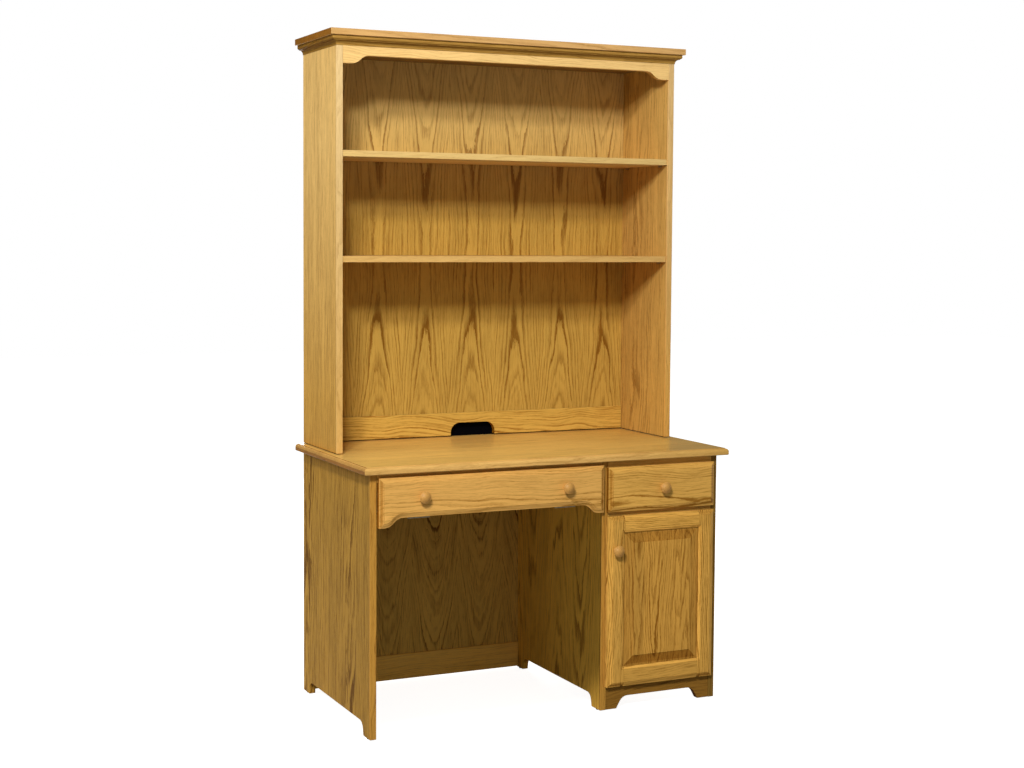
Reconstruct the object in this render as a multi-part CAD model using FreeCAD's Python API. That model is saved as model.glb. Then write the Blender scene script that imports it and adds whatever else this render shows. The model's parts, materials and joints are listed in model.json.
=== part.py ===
"""Student desk with hutch: oak panels, a keyboard tray, a drawer and a cupboard.

Every piece is a solid of its own, written to parts/NODE.step in millimetres.
The construction frame has x across the desk, y towards the wall with 0 at the
front edges of the end panels, and z up from the floor. On export the pieces
move along y, so that the origin is below the middle of the whole desk.
"""
import FreeCAD, Part
import math
import os

# --- desk case ---------------------------------------------------------------
case_width = 1117.0             # over the two end panels
case_depth = 569.0              # front edge to back edge of an end panel
desk_height = 765.0             # floor to the upper face of the top
board = 19.0                    # end panels, divider, rails and fronts
top_thickness = 21.0
top_round_depth = 8.5           # rounded upper arris of the top, seen from above
top_round_height = 8.4
top_step = 1.6                  # little step above that rounding
top_chamfer = 2.0               # lower arris
side_overhang = 26.0            # top beyond the end panels
front_overhang = 27.0
knee_width = 705.0              # clear width of the knee space
glue_gap = 0.1                  # play between pieces that are glued or screwed
hole_play = 0.05                # round a screw, nail, pin or tenon in its hole
hole_rest = 0.3                 # past the end of what the hole holds
cut_past = 1.0                  # how far a cutting shape runs past a face

# --- feet --------------------------------------------------------------------
glide_height = 3.0              # nail-on glide below a panel
glide_radius = 8.0
glide_nail_radius = 1.2
glide_nail_length = 16.0
glide_inset = 26.0              # glide to the panel's front or back edge
foot_width = 53.0               # foot of an end panel at the floor
foot_rise = 37.5                # floor end of a panel up to its straight edge
foot_lean = 6.5                 # slant of the foot's inner edge
foot_curve = 24.0

# --- rails and backs ---------------------------------------------------------
back_thickness = 6.0            # plywood backs
groove_depth = 6.0
groove_play = 0.2               # each side of a back in its groove
groove_rest = 0.5               # edge of a panel or tenon to the bottom of its groove
groove_stop = 20.0              # lower end of an upright groove above the panel's straight edge
back_inset = 7.0                # back panel to the back edge of the case
knee_rail_lift = 3.0            # above the underside of the panels
knee_rail_height = 79.0
rear_rail_height = 90.0
front_rail_height = 25.0
drawer_rail_depth = 70.0
toe_height = 72.0
toe_foot_width = 37.0           # toe board's foot at the floor
toe_foot_rise = 35.5
toe_foot_lean = 20.5
toe_foot_curve = 30.0
shelf_board = 16.0              # pedestal floor and cupboard shelf
floor_setback = 2.0             # pedestal floor and toe board behind the front edges
rail_under_door = 3.0           # underside of the drawer rail below the top of the door

# --- fronts ------------------------------------------------------------------
front_gap = 2.4                 # behind the fronts, where the hinge leaves lie
front_side_gap = 1.0            # knee front to the panels beside it
overlap_left = 5.5              # pedestal fronts over the divider
overlap_right = 1.2             # pedestal fronts over the end panel
edge_width = 13.0               # moulded edge, seen from the front
edge_lip = 12.0                 # square side left behind the moulding
edge_step = 1.3                 # little step from the face into the moulding
knee_front_drop = 11.5          # its upper edge below the underside of the top
knee_front_height = 112.5       # down to the middle of the scalloped lower edge
ear_drop = 26.0                 # ears below the middle
ear_width = 17.0                # flat part of an ear
scallop_width = 55.0
drawer_front_drop = 19.0        # its upper edge below the underside of the top
drawer_front_height = 132.0
front_spacing = 12.5            # drawer front to door
toe_lap = 2.0                   # door over the toe board

# --- knobs -------------------------------------------------------------------
knob_radius = 17.0
knob_stem_radius = 7.5
knob_base_radius = 9.5
knob_base_height = 2.0
knob_length = 27.0
knob_dome = 9.0                 # widest ring to the tip
knob_rim = 3.2                  # rounding of that ring
knob_tenon_radius = 4.5
knob_tenon_length = 14.0
knee_knob_inset = 128.0         # from the end of the knee front
door_knob_drop = 100.0          # below the top of the door

# --- keyboard tray -----------------------------------------------------------
slide_space = 12.7              # beside a drawer box, for the slides
tray_floor = 12.0
tray_floor_lift = 4.4           # tray floor above the barrels' axis
tray_depth = 420.0
tray_side_height = 52.0
box_side = 12.0                 # sides of the tray and the drawer box
tray_front_gap = 1.6            # tray to the back of the folding front

# --- drawer box --------------------------------------------------------------
box_depth = 430.0
box_bottom_lift = 11.0          # box above the lower edge of its front
box_height = 88.0
box_groove_lift = 8.0
box_bottom = 5.0

# --- telescopic slides -------------------------------------------------------
slide_length = 400.0
slide_start = 6.0               # behind the front edges of the panels
slide_height = 45.0
slide_thickness = 1.2
slide_gap = 0.5                 # between the members
slide_lip = 7.6                 # depth of the outer channel

# --- hinges ------------------------------------------------------------------
leaf = 0.9
pin_radius = 1.2
pin_play = 0.05
barrel_radius = 2.6
barrel_drop = 0.4               # barrel below the lower edge of the folding front
leaf_gap = 1.0                  # between the two leaves of a drop-front hinge
leaf_play = 0.05                # leaf to the edge that it lies on
knuckle_gap = 0.35
hinge_height = 60.0             # door hinge, along its pin
hinge_inset = 62.0              # end of the door to the end of a hinge
door_leaf_width = 24.0
door_axis_out = 3.2             # pin to the edge of the door
flap_hinge_width = 66.0
flap_hinge_inset = 122.5        # from the end of the knee front to the middle of a hinge
flap_leaf_width = 22.0

# --- door --------------------------------------------------------------------
stile = 54.0                    # to the sight edge of the panel opening
door_top_rail = 51.0
door_bottom_rail = 60.0
sticking = 5.0                  # bevel round the panel opening
tongue = 6.0
tongue_length = 9.0
field_margin = 30.0             # raised field to the sight edge
field_step = 1.5
field_recess = 1.5              # raised field behind the face of the frame
panel_play = 1.2                # room for the panel to swell in its groove
bevel_start = 0.5               # bevel of the panel inside the sight edge

# --- cupboard ----------------------------------------------------------------
shelf_setback = 30.0            # cupboard shelf behind the front edges
cupboard_shelf_rise = 239.0     # upper face above the pedestal floor
shelf_play = 1.0                # shelf to the side panels
shelf_back_play = 2.0           # shelf to the back panel
pin_shank_radius = 2.5
pin_head = 5.0                  # support pin's square tongue
pin_depth = 10.0                # shank in the panel
pin_reach = 9.0                 # tongue under the shelf
pin_from_edge = 37.0            # pin to the shelf's front or back edge
catch_width = 46.0
catch_depth = 15.0
catch_height = 12.0
catch_inset = 40.0              # from the divider
catch_play = 0.3                # catch to its strike
strike_thickness = 1.0
strike_width = 34.0
strike_height = 10.0

# --- hutch -------------------------------------------------------------------
hutch_depth = 297.0
hutch_height = 1217.5           # upper face of the desk to the top of the sides
pad_height = 2.5                # felt pads below the hutch
pad_radius = 7.0
shelf_thickness = 18.0
shelf_front_inset = 4.0
lower_shelf_height = 572.5      # upper faces above the desk's upper face
upper_shelf_height = 876.0
hutch_rail_height = 77.0        # front rail at its ends
hutch_rail_rise = 24.0          # its lower edge is this much higher in the middle
hutch_rail_flat = 26.0          # level end of the lower edge
hutch_rail_curve = 57.0
hutch_back_rail_height = 73.0
hutch_back_rail_lift = 1.0      # above the desk
cord_cut_width = 152.0
cord_cut_height = 41.0
cord_cut_curve = 30.0
cap_thickness = 18.0
cap_overhang = 26.0
crown_height = 27.0
crown_reach = 18.0
crown_fillet = 1.5              # square edge below the cove, and the step above it
crown_cove = 11.5
crown_band = 5.0                # upright band under the cap

# --- fastenings --------------------------------------------------------------
screw_radius = 2.0
screw_length = 30.0
screw_head_radius = 4.0
screw_head_height = 2.6
screw_bite = 12.0               # rail screws in the top
screw_spacing = 90.0            # screw to the end of its rail
pocket_radius = 6.0             # pocket for a screw head in the rear rail
pocket_height = 32.0
plate_width = 22.0
plate_pitch = 22.5              # screws in the hutch rail above the desk
plate_end = 8.0                 # outer screws to the ends of a plate
plate_thickness = 2.5
plate_from_side = 110.0
plate_screw_length = 14.0

# --- derived places ----------------------------------------------------------
half_width = case_width / 2
left_inside = -half_width + board
divider_left = left_inside + knee_width
divider_right = divider_left + board
right_inside = half_width - board
knee_centre = (left_inside + divider_left) / 2
panel_bottom = glide_height
top_underside = desk_height - top_thickness
knee_front_top = top_underside - knee_front_drop
knee_front_bottom = knee_front_top - knee_front_height
drawer_front_top = top_underside - drawer_front_drop
drawer_front_bottom = drawer_front_top - drawer_front_height
door_top = drawer_front_bottom - front_spacing
door_bottom = panel_bottom + toe_height - toe_lap
cupboard_floor = panel_bottom + toe_height + shelf_board
cupboard_shelf_top = cupboard_floor + cupboard_shelf_rise
back_front = case_depth - back_inset - back_thickness
rail_front = case_depth - board
front_back = -front_gap
front_face = front_back - board
knee_half = knee_width / 2 - front_side_gap
pedestal_left = divider_right - overlap_left
pedestal_right = right_inside + overlap_right
rail_y = (back_front, back_front + back_thickness)
hutch_bottom = desk_height + pad_height
hutch_top = desk_height + hutch_height - cap_thickness
hutch_front = case_depth - hutch_depth
flap_axis_y = front_back + leaf
flap_axis_z = knee_front_bottom - barrel_radius - barrel_drop
tray_bottom = flap_axis_z + tray_floor_lift
drawer_rail_bottom = door_top - rail_under_door
shelf_back = back_front - shelf_back_play
rearmost = case_depth + plate_thickness + screw_head_height
foremost = front_face - knob_length
origin_y = (foremost + rearmost) / 2

PARTS = {}


def vector(x, y, z):
    return FreeCAD.Vector(x, y, z)


def span(low, high):
    """Order two limits, so that mirrored pieces can share one recipe."""
    return (min(low, high), max(low, high))


def block(x, y, z):
    """A box from three (low, high) pairs."""
    return Part.makeBox(x[1] - x[0], y[1] - y[0], z[1] - z[0], vector(x[0], y[0], z[0]))


def rod(radius, base, direction, length):
    return Part.makeCylinder(radius, length, vector(*base), vector(*direction))


def joined(shapes):
    """One solid out of touching or overlapping shapes."""
    whole = shapes[0].multiFuse(shapes[1:]) if len(shapes) > 1 else shapes[0]
    return whole.removeSplitter()


def keep(name, *shapes):
    """Store the separate solids of one node."""
    PARTS[name] = Part.makeCompound(list(shapes))


class Outline:
    """A closed outline in one plane, made of straight runs and arcs."""

    def __init__(self, place, start):
        self.place = place
        self.first = start
        self.here = start
        self.edges = []

    def line(self, point):
        self.edges.append(Part.makeLine(self.place(*self.here), self.place(*point)))
        self.here = point

    def arc(self, middle, end):
        points = [self.place(*p) for p in (self.here, middle, end)]
        self.edges.append(Part.Arc(*points).toShape())
        self.here = end

    def bend(self, corner, towards, radius):
        """Run to a corner that is rounded, and stop where its arc ends."""
        before = unit(self.here, corner)
        after = unit(corner, towards)
        turn = math.acos(before[0] * after[0] + before[1] * after[1])
        tangent = radius * math.tan(turn / 2)
        start = (corner[0] - before[0] * tangent, corner[1] - before[1] * tangent)
        end = (corner[0] + after[0] * tangent, corner[1] + after[1] * tangent)
        inward = unit(corner, ((start[0] + end[0]) / 2, (start[1] + end[1]) / 2))
        sagitta = radius / math.cos(turn / 2) - radius
        middle = (corner[0] + inward[0] * sagitta, corner[1] + inward[1] * sagitta)
        self.line(start)
        self.arc(middle, end)

    def ogee(self, end, inset=0.0):
        """An S-curve, level at both ends, to the end; inset lifts it along its normals."""
        start = (self.here[0], self.here[1] - inset)
        foot = (end[0], end[1] - inset)
        across = (foot[0] - start[0]) / 2
        rise = (foot[1] - start[1]) / 2
        radius = (across ** 2 + rise ** 2) / (2 * abs(rise))
        turn = 2 * math.atan2(abs(rise), abs(across))
        way = math.copysign(1.0, across)
        climb = math.copysign(1.0, rise)
        dx = way * radius * math.sin(turn / 2)
        dz = climb * radius * (1 - math.cos(turn / 2))

        def lifted(x, z, slope):
            return (x - way * climb * inset * math.sin(slope), z + inset * math.cos(slope))

        crossing = lifted(start[0] + across, start[1] + rise, turn)
        self.arc(lifted(start[0] + dx, start[1] + dz, turn / 2), crossing)
        self.arc(lifted(foot[0] - dx, foot[1] - dz, turn / 2), end)

    def wire(self):
        self.line(self.first)
        return Part.Wire(self.edges)

    def solid(self, direction):
        return Part.Face(self.wire()).extrude(vector(*direction))


def unit(start, end):
    length = math.dist(start, end)
    return ((end[0] - start[0]) / length, (end[1] - start[1]) / length)


def corners(place, u, v):
    """The four corners of a rectangle given by two (low, high) pairs."""
    return [place(u[0], v[0]), place(u[1], v[0]), place(u[1], v[1]), place(u[0], v[1])]


def flat_face(points):
    return Part.Face(Part.makePolygon(points + points[:1]))


def stacked(sections):
    """A solid with flat sides through a row of four-cornered sections."""
    faces = [flat_face(sections[0]), flat_face(sections[-1])]
    for one, other in zip(sections, sections[1:]):
        for side in range(4):
            after = (side + 1) % 4
            faces.append(flat_face([one[side], one[after], other[after], other[side]]))
    return Part.Solid(Part.makeShell(faces))


def grown(limits, amount):
    return (limits[0] - amount, limits[1] + amount)


# --- moulded edges -----------------------------------------------------------
def front_profile():
    """(inset, depth below the face) of the moulded edge of a drawer or door front."""
    steps = 6
    fall = board - edge_lip - edge_step
    profile = [(0.0, board), (0.0, board - edge_lip)]
    for step in range(1, steps + 1):
        share = step / steps
        depth = edge_step + fall * (1 + math.cos(math.pi * share)) / 2
        profile.append((edge_width * share, depth))
    profile.append((edge_width, 0.0))
    return profile


def upright(y):
    """Place a drawing in the upright plane at y."""
    return lambda u, v: vector(u, y, v)


def plain_front(x, z):
    """A rectangular front with the moulded edge."""
    sections = [corners(upright(front_face + depth), grown(x, -inset), grown(z, -inset))
                for inset, depth in front_profile()]
    return stacked(sections)


def scalloped_front():
    """The knee front, whose lower edge hangs lower at both ends."""
    def inset_wire(inset, depth):
        left = knee_centre - knee_half + inset
        right = knee_centre + knee_half - inset
        ear = knee_front_bottom - ear_drop + inset
        middle = knee_front_bottom + inset
        ear_end = knee_half - ear_width
        curve_end = ear_end - scallop_width
        outline = Outline(upright(front_face + depth), (left, ear))
        outline.line((knee_centre - ear_end, ear))
        outline.ogee((knee_centre - curve_end, middle), inset)
        outline.line((knee_centre + curve_end, middle))
        outline.ogee((knee_centre + ear_end, ear), inset)
        outline.line((right, ear))
        outline.line((right, knee_front_top - inset))
        outline.line((left, knee_front_top - inset))
        return outline.wire()
    wires = [inset_wire(inset, depth) for inset, depth in front_profile()]
    return Part.makeLoft(wires, True, True)


def top_profile():
    """(inset, depth below the upper face) of the moulded edge of the desk top."""
    nose = top_step + top_round_height
    profile = [(top_chamfer, top_thickness), (0.0, top_thickness - top_chamfer)]
    steps = 5
    for step in range(steps + 1):
        turn = math.pi / 2 * step / steps
        profile.append((top_round_depth * (1 - math.cos(turn)),
                        nose - top_round_height * math.sin(turn)))
    profile.append((top_round_depth, 0.0))
    return profile


def moulded_top():
    """The desk top, moulded at the front and both ends, square at the back."""
    x = (-half_width - side_overhang, half_width + side_overhang)
    sections = []
    for inset, drop in top_profile():
        z = desk_height - drop
        y = (-front_overhang + inset, case_depth)
        sections.append(corners(lambda u, v: vector(u, v, z), grown(x, -inset), y))
    return stacked(sections)


# --- shared small pieces -----------------------------------------------------
def knob(x, z):
    """A turned mushroom knob with the tenon that glues it to its front."""
    def place(radius, out):
        return vector(radius, -out, 0)
    outline = Outline(place, (0.0, -knob_tenon_length))
    outline.line((knob_tenon_radius, -knob_tenon_length))
    outline.line((knob_tenon_radius, 0.0))
    outline.line((knob_base_radius, 0.0))
    outline.line((knob_base_radius, knob_base_height))
    rim = knob_length - knob_dome
    under = rim - knob_rim
    waist = under - (under - knob_base_height) * 0.4
    outline.arc((knob_stem_radius, (knob_base_height + waist) / 2), (knob_stem_radius, waist))
    cap_edge = knob_radius - knob_rim
    flare = knob_stem_radius + (cap_edge - knob_stem_radius) * 0.5
    outline.arc((flare, under - (under - waist) * 0.45), (cap_edge, under))
    outline.arc((knob_radius, rim), (cap_edge, rim + knob_rim))
    rise = knob_dome - knob_rim
    dome_radius = (cap_edge ** 2 + rise ** 2) / (2 * rise)
    half = math.asin(cap_edge / dome_radius) / 2
    crest = knob_length - dome_radius * (1 - math.cos(half))
    outline.arc((dome_radius * math.sin(half), crest), (0.0, knob_length))
    turned = Part.Face(outline.wire()).revolve(vector(0, 0, 0), vector(0, 1, 0), 360)
    turned.translate(vector(x, front_face, z))
    return turned


def knob_hole(x, z):
    return rod(knob_tenon_radius + hole_play, (x, front_face - cut_past, z), (0, 1, 0),
               cut_past + knob_tenon_length + hole_rest)


def wood_screw(base, direction, length):
    """A round-head screw; the base is the surface that the head rests on."""
    way = vector(*direction)
    shank = Part.makeCylinder(screw_radius, length, vector(*base), way)
    head = Part.makeCylinder(screw_head_radius, screw_head_height,
                             vector(*base) - way * screw_head_height, way)
    return shank.fuse(head)


def screw_hole(base, direction, length):
    way = vector(*direction)
    return Part.makeCylinder(screw_radius + hole_play, cut_past + length + hole_rest,
                             vector(*base) - way * cut_past, way)


def mirrored(shape, x):
    """The mirror image in the plane at x."""
    return shape.mirror(vector(x, 0, 0), vector(1, 0, 0))


# --- places of the fastenings ------------------------------------------------
def glide_places():
    """Middle of every glide, on the underside of the three panels."""
    xs = (-half_width + board / 2, divider_left + board / 2, half_width - board / 2)
    ys = (glide_inset, case_depth - glide_inset)
    return [(x, y) for x in xs for y in ys]


def rail_screw_places():
    """Screws up through the front and rear rails into the desk top."""
    places = []
    front_z = top_underside - front_rail_height
    for x in (left_inside + screw_spacing, divider_left - screw_spacing,
              divider_right + screw_spacing, right_inside - screw_spacing):
        places.append((x, board / 2, front_z))
    rear_z = top_underside - screw_length / 2
    for x in (left_inside + screw_spacing, divider_left - screw_spacing):
        places.append((x, rail_front + board / 2, rear_z))
    return places


def rail_screws(make):
    """Every screw up into the top, or its hole, as make is wood_screw or screw_hole."""
    return [make(place, (0, 0, 1), top_underside - place[2] + screw_bite)
            for place in rail_screw_places()]


def plate_screws(make):
    """Every screw of the mending plates, or its hole."""
    return [make(place, (0, -1, 0), plate_screw_length) for place in plate_screw_places()]


def plate_centres():
    return (-half_width + plate_from_side, half_width - plate_from_side)


def plate_screw_places():
    """Screws through the mending plates into the top's and the hutch rail's backs."""
    heights = (desk_height - top_thickness / 2, desk_height + plate_pitch,
               desk_height + 2 * plate_pitch)
    return [(x, case_depth + plate_thickness, z) for x in plate_centres() for z in heights]


# --- desk case ---------------------------------------------------------------
def end_panel(x):
    """An upright panel with a foot at the front and one at the back."""
    straight = panel_bottom + foot_rise
    outline = Outline(lambda u, v: vector(x[0], u, v), (0.0, panel_bottom))
    outline.line((foot_width, panel_bottom))
    outline.bend((foot_width + foot_lean, straight), (case_depth / 2, straight), foot_curve)
    rear_corner = (case_depth - foot_width - foot_lean, straight)
    outline.bend(rear_corner, (case_depth - foot_width, panel_bottom), foot_curve)
    outline.line((case_depth - foot_width, panel_bottom))
    outline.line((case_depth, panel_bottom))
    outline.line((case_depth, top_underside))
    outline.line((0.0, top_underside))
    return outline.solid((x[1] - x[0], 0, 0))


def back_groove(face_x, into, z):
    """The upright groove that holds a back panel; into is +1 or -1 along x."""
    x = span(face_x - into * cut_past, face_x + into * groove_depth)
    return block(x, grown(rail_y, groove_play), z)


def glide_holes(panel):
    for x, y in glide_places():
        hole = rod(glide_nail_radius + hole_play, (x, y, panel_bottom - cut_past), (0, 0, 1),
                   cut_past + glide_nail_length + hole_rest)
        panel = panel.cut(hole)
    return panel


def make_panels():
    groove_z = (panel_bottom + foot_rise + groove_stop, top_underside + cut_past)
    left = end_panel((-half_width, left_inside))
    left = left.cut(back_groove(left_inside, -1, groove_z))
    keep("left_end_panel", glide_holes(left))
    divider = end_panel((divider_left, divider_right))
    divider = divider.cut(back_groove(divider_left, 1, groove_z))
    divider = divider.cut(back_groove(divider_right, -1, groove_z))
    divider = divider.cut(cupboard_pin_holes())
    keep("divider_panel", glide_holes(divider))
    right = end_panel((right_inside, half_width))
    right = right.cut(back_groove(right_inside, 1, groove_z))
    right = right.cut(cupboard_pin_holes())
    keep("right_end_panel", glide_holes(right))
    glides = []
    for x, y in glide_places():
        pad = rod(glide_radius, (x, y, 0), (0, 0, 1), glide_height)
        nail = rod(glide_nail_radius, (x, y, 0), (0, 0, 1), glide_height + glide_nail_length)
        glides.append(joined([pad, nail]))
    keep("foot_glides", *glides)


def make_top():
    holes = rail_screws(screw_hole) + plate_screws(screw_hole)
    top = moulded_top().cut(Part.makeCompound(holes))
    keep("desk_top", top)


def make_rails():
    knee_x = (left_inside + glue_gap, divider_left - glue_gap)
    pedestal_x = (divider_right + glue_gap, right_inside - glue_gap)
    front_z = (top_underside - front_rail_height, top_underside)
    rear_z = (top_underside - rear_rail_height, top_underside)
    holes = Part.makeCompound(rail_screws(screw_hole))
    keep("knee_front_top_rail", block(knee_x, (0, board), front_z).cut(holes))
    keep("pedestal_front_top_rail", block(pedestal_x, (0, board), front_z).cut(holes))
    groove_y = grown(rail_y, groove_play)
    rear = block(knee_x, (rail_front, case_depth), rear_z)
    rear = rear.cut(block(grown(knee_x, cut_past), groove_y,
                          (rear_z[0] - cut_past, rear_z[0] + groove_depth)))
    for x, y, z in rail_screw_places()[4:]:
        pocket_y = (rail_front - cut_past, rail_front + board / 2 + pocket_radius)
        rear = rear.cut(block(grown((x, x), pocket_radius), pocket_y, (z - pocket_height, z)))
    keep("knee_back_top_rail", rear.cut(holes))
    low_z = (panel_bottom + knee_rail_lift, panel_bottom + knee_rail_lift + knee_rail_height)
    low = block(knee_x, (rail_front, case_depth), low_z)
    low = low.cut(block(grown(knee_x, cut_past), groove_y,
                        (low_z[1] - groove_depth, low_z[1] + cut_past)))
    keep("knee_back_bottom_rail", low)
    back_x = grown((left_inside, divider_left), groove_depth - groove_rest)
    back_z = grown((low_z[1], rear_z[0]), groove_depth - groove_rest)
    middle = block(knee_x, rail_y, back_z)
    wings = block(back_x, rail_y, (low_z[1] + glue_gap, rear_z[0] - glue_gap))
    keep("knee_back_panel", joined([middle, wings]))


def make_pedestal():
    pedestal_x = (divider_right + glue_gap, right_inside - glue_gap)
    rail_z = (drawer_rail_bottom, drawer_rail_bottom + board)
    keep("drawer_door_rail", block(pedestal_x, (0, drawer_rail_depth), rail_z))
    floor_z = (cupboard_floor - shelf_board, cupboard_floor)
    floor_y = (floor_setback, back_front - glue_gap)
    keep("pedestal_floor", block(pedestal_x, floor_y, floor_z))
    keep("toe_board", toe_board(pedestal_x))
    back_x = grown((divider_right, right_inside), groove_depth - groove_rest)
    back_z = (floor_z[0], top_underside - glue_gap)
    keep("pedestal_back_panel", block(back_x, rail_y, back_z))
    shelf_z = (cupboard_shelf_top - shelf_board, cupboard_shelf_top)
    shelf_x = grown((divider_right, right_inside), -shelf_play)
    keep("cupboard_shelf", block(shelf_x, (shelf_setback, shelf_back), shelf_z))


def toe_board(x):
    """The board under the cupboard, cut out between two bracket feet."""
    straight = panel_bottom + toe_foot_rise
    left = x[0] + toe_foot_width
    right = x[1] - toe_foot_width
    middle = (left + right) / 2
    outline = Outline(upright(floor_setback), (x[0], panel_bottom))
    outline.line((left, panel_bottom))
    outline.bend((left + toe_foot_lean, straight), (middle, straight), toe_foot_curve)
    outline.bend((right - toe_foot_lean, straight), (right, panel_bottom), toe_foot_curve)
    outline.line((right, panel_bottom))
    outline.line((x[1], panel_bottom))
    outline.line((x[1], panel_bottom + toe_height))
    outline.line((x[0], panel_bottom + toe_height))
    return outline.solid((0, board, 0))


# --- shelf pins --------------------------------------------------------------
def pin_rows():
    """(left face x, right face x, shelf underside, front y, back y) of each pinned shelf."""
    hutch_y = (hutch_front + shelf_front_inset, shelf_back)
    cupboard_y = (shelf_setback, shelf_back)
    low = desk_height + lower_shelf_height - shelf_thickness
    high = desk_height + upper_shelf_height - shelf_thickness
    cupboard = cupboard_shelf_top - shelf_board
    return [(left_inside, right_inside, low) + hutch_y,
            (left_inside, right_inside, high) + hutch_y,
            (divider_right, right_inside, cupboard) + cupboard_y]


def pins_of(row):
    """(x of the panel face, direction into the panel, y, shelf underside) for one shelf."""
    left, right, under, front, back = row
    ys = (front + pin_from_edge, back - pin_from_edge)
    return [(x, way, y, under) for x, way in ((left, -1), (right, 1)) for y in ys]


def pin_hole(face_x, way, y, under):
    start = (face_x - way * cut_past, y, under - pin_shank_radius - glue_gap)
    length = cut_past + pin_depth + hole_rest
    return rod(pin_shank_radius + hole_play, start, (way, 0, 0), length)


def cupboard_pin_holes():
    return Part.makeCompound([pin_hole(*place) for place in pins_of(pin_rows()[2])])


def hutch_pin_holes():
    places = pins_of(pin_rows()[0]) + pins_of(pin_rows()[1])
    return Part.makeCompound([pin_hole(*place) for place in places])


def make_shelf_pins():
    pins = []
    for row in pin_rows():
        for face_x, way, y, under in pins_of(row):
            axis_z = under - pin_shank_radius - glue_gap
            shank = rod(pin_shank_radius, (face_x, y, axis_z), (way, 0, 0), pin_depth)
            tongue_x = span(face_x, face_x - way * pin_reach)
            tongue_z = (axis_z - pin_head / 2, axis_z + pin_head / 2)
            pins.append(shank.fuse(block(tongue_x, (y - pin_head, y + pin_head), tongue_z)))
    keep("shelf_pins", *pins)


# --- telescopic slides -------------------------------------------------------
def channel(face_x, way, web, reach, half_height, z, y):
    """A C-channel: its web starts web from the face, its lips run to reach."""
    outer = block(span(face_x + way * web, face_x + way * reach), y, grown((z, z), half_height))
    cut_x = span(face_x + way * (web + slide_thickness), face_x + way * (reach + cut_past))
    return outer.cut(block(cut_x, grown(y, cut_past), grown((z, z), half_height - slide_thickness)))


def slide_members(left, right, z):
    """Outer, middle and inner members at both sides of one drawer, closed."""
    y = (slide_start, slide_start + slide_length)
    outer_half = slide_height / 2
    middle_half = outer_half - slide_thickness - slide_gap
    inner_half = middle_half - slide_thickness - slide_gap
    outer = []
    middle = []
    inner = []
    for face_x, way in ((left, 1), (right, -1)):
        outer.append(channel(face_x, way, 0.0, slide_lip, outer_half, z, y))
        web = slide_thickness + slide_gap
        middle.append(channel(face_x, way, web, web + slide_lip, middle_half, z, y))
        far = slide_space
        near = web + slide_thickness + slide_gap
        inner.append(channel(face_x + way * far, -way, 0.0, far - near, inner_half, z, y))
    return outer, middle, inner


# --- keyboard tray -----------------------------------------------------------
def make_tray():
    x = (left_inside + slide_space, divider_left - slide_space)
    y = (front_back + tray_front_gap, front_back + tray_front_gap + tray_depth)
    floor_z = (tray_bottom, tray_bottom + tray_floor)
    keep("tray_floor", block(x, y, floor_z))
    side_z = (floor_z[1], floor_z[1] + tray_side_height)
    keep("tray_left_side", block((x[0], x[0] + box_side), y, side_z))
    keep("tray_right_side", block((x[1] - box_side, x[1]), y, side_z))
    back_x = grown(x, -box_side - glue_gap)
    keep("tray_back", block(back_x, (y[1] - box_side, y[1]), side_z))
    slide_z = side_z[0] + tray_side_height / 2
    outer, middle, inner = slide_members(left_inside, divider_left, slide_z)
    keep("tray_slide_outer_members", *outer)
    keep("tray_slide_middle_members", *middle)
    keep("tray_slide_inner_members", *inner)
    make_flap()


def make_flap():
    """The front that folds down, its knobs and its two hinges."""
    front = scalloped_front()
    knob_z = (knee_front_top + knee_front_bottom) / 2
    knobs = []
    for side in (-1, 1):
        x = knee_centre + side * (knee_half - knee_knob_inset)
        front = front.cut(knob_hole(x, knob_z))
        knobs.append(knob(x, knob_z))
    keep("tray_front", front)
    keep("tray_front_knobs", *knobs)
    tray_leaves = []
    flap_leaves = []
    for side in (-1, 1):
        fixed, folding = flap_hinge(knee_centre + side * (knee_half - flap_hinge_inset))
        tray_leaves.append(fixed)
        flap_leaves.append(folding)
    keep("tray_hinge_lower_leaves", *tray_leaves)
    keep("tray_hinge_upper_leaves", *flap_leaves)


def knuckles(along, start, length, centre):
    """Three barrels on one axis: the outer two with the pin, and the bored middle one."""
    third = length / 3

    def piece(low, high, radius):
        base = [centre[0], centre[1], centre[2]]
        base[along] = low
        direction = [0, 0, 0]
        direction[along] = 1
        return rod(radius, base, direction, high - low)

    ends = [piece(start, start + third - knuckle_gap, barrel_radius),
            piece(start + 2 * third + knuckle_gap, start + length, barrel_radius),
            piece(start, start + length, pin_radius)]
    middle = piece(start + third, start + 2 * third, barrel_radius)
    bored = middle.cut(piece(start, start + length, pin_radius + pin_play))
    return ends, bored, (start + third, start + 2 * third)


def flap_hinge(x):
    """A drop-front hinge: the lower leaf under the tray, the upper one on the front's back."""
    start = x - flap_hinge_width / 2
    centre = (0.0, flap_axis_y, flap_axis_z)
    ends, middle, third = knuckles(0, start, flap_hinge_width, centre)
    under = tray_bottom - leaf
    bore = rod(pin_radius + pin_play, (start, flap_axis_y, flap_axis_z), (1, 0, 0),
               flap_hinge_width)
    lower = []
    end = start + flap_hinge_width
    for low, high in ((start, third[0] - knuckle_gap), (third[1] + knuckle_gap, end)):
        lower.append(block((low, high), (flap_axis_y, flap_axis_y + flap_leaf_width),
                           (under, tray_bottom)))
        lower.append(block((low, high), (flap_axis_y, flap_axis_y + leaf),
                           (flap_axis_z, tray_bottom)))
    fixed = joined(ends + lower)
    upper = block((third[0], third[1]), (front_back, front_back + leaf),
                  (flap_axis_z, flap_axis_z + flap_leaf_width))
    web = block((start, end), (front_back, front_back + leaf),
                (tray_bottom + leaf_gap, flap_axis_z + flap_leaf_width))
    folding = joined([middle, upper.cut(bore), web])
    return fixed, folding


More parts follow.
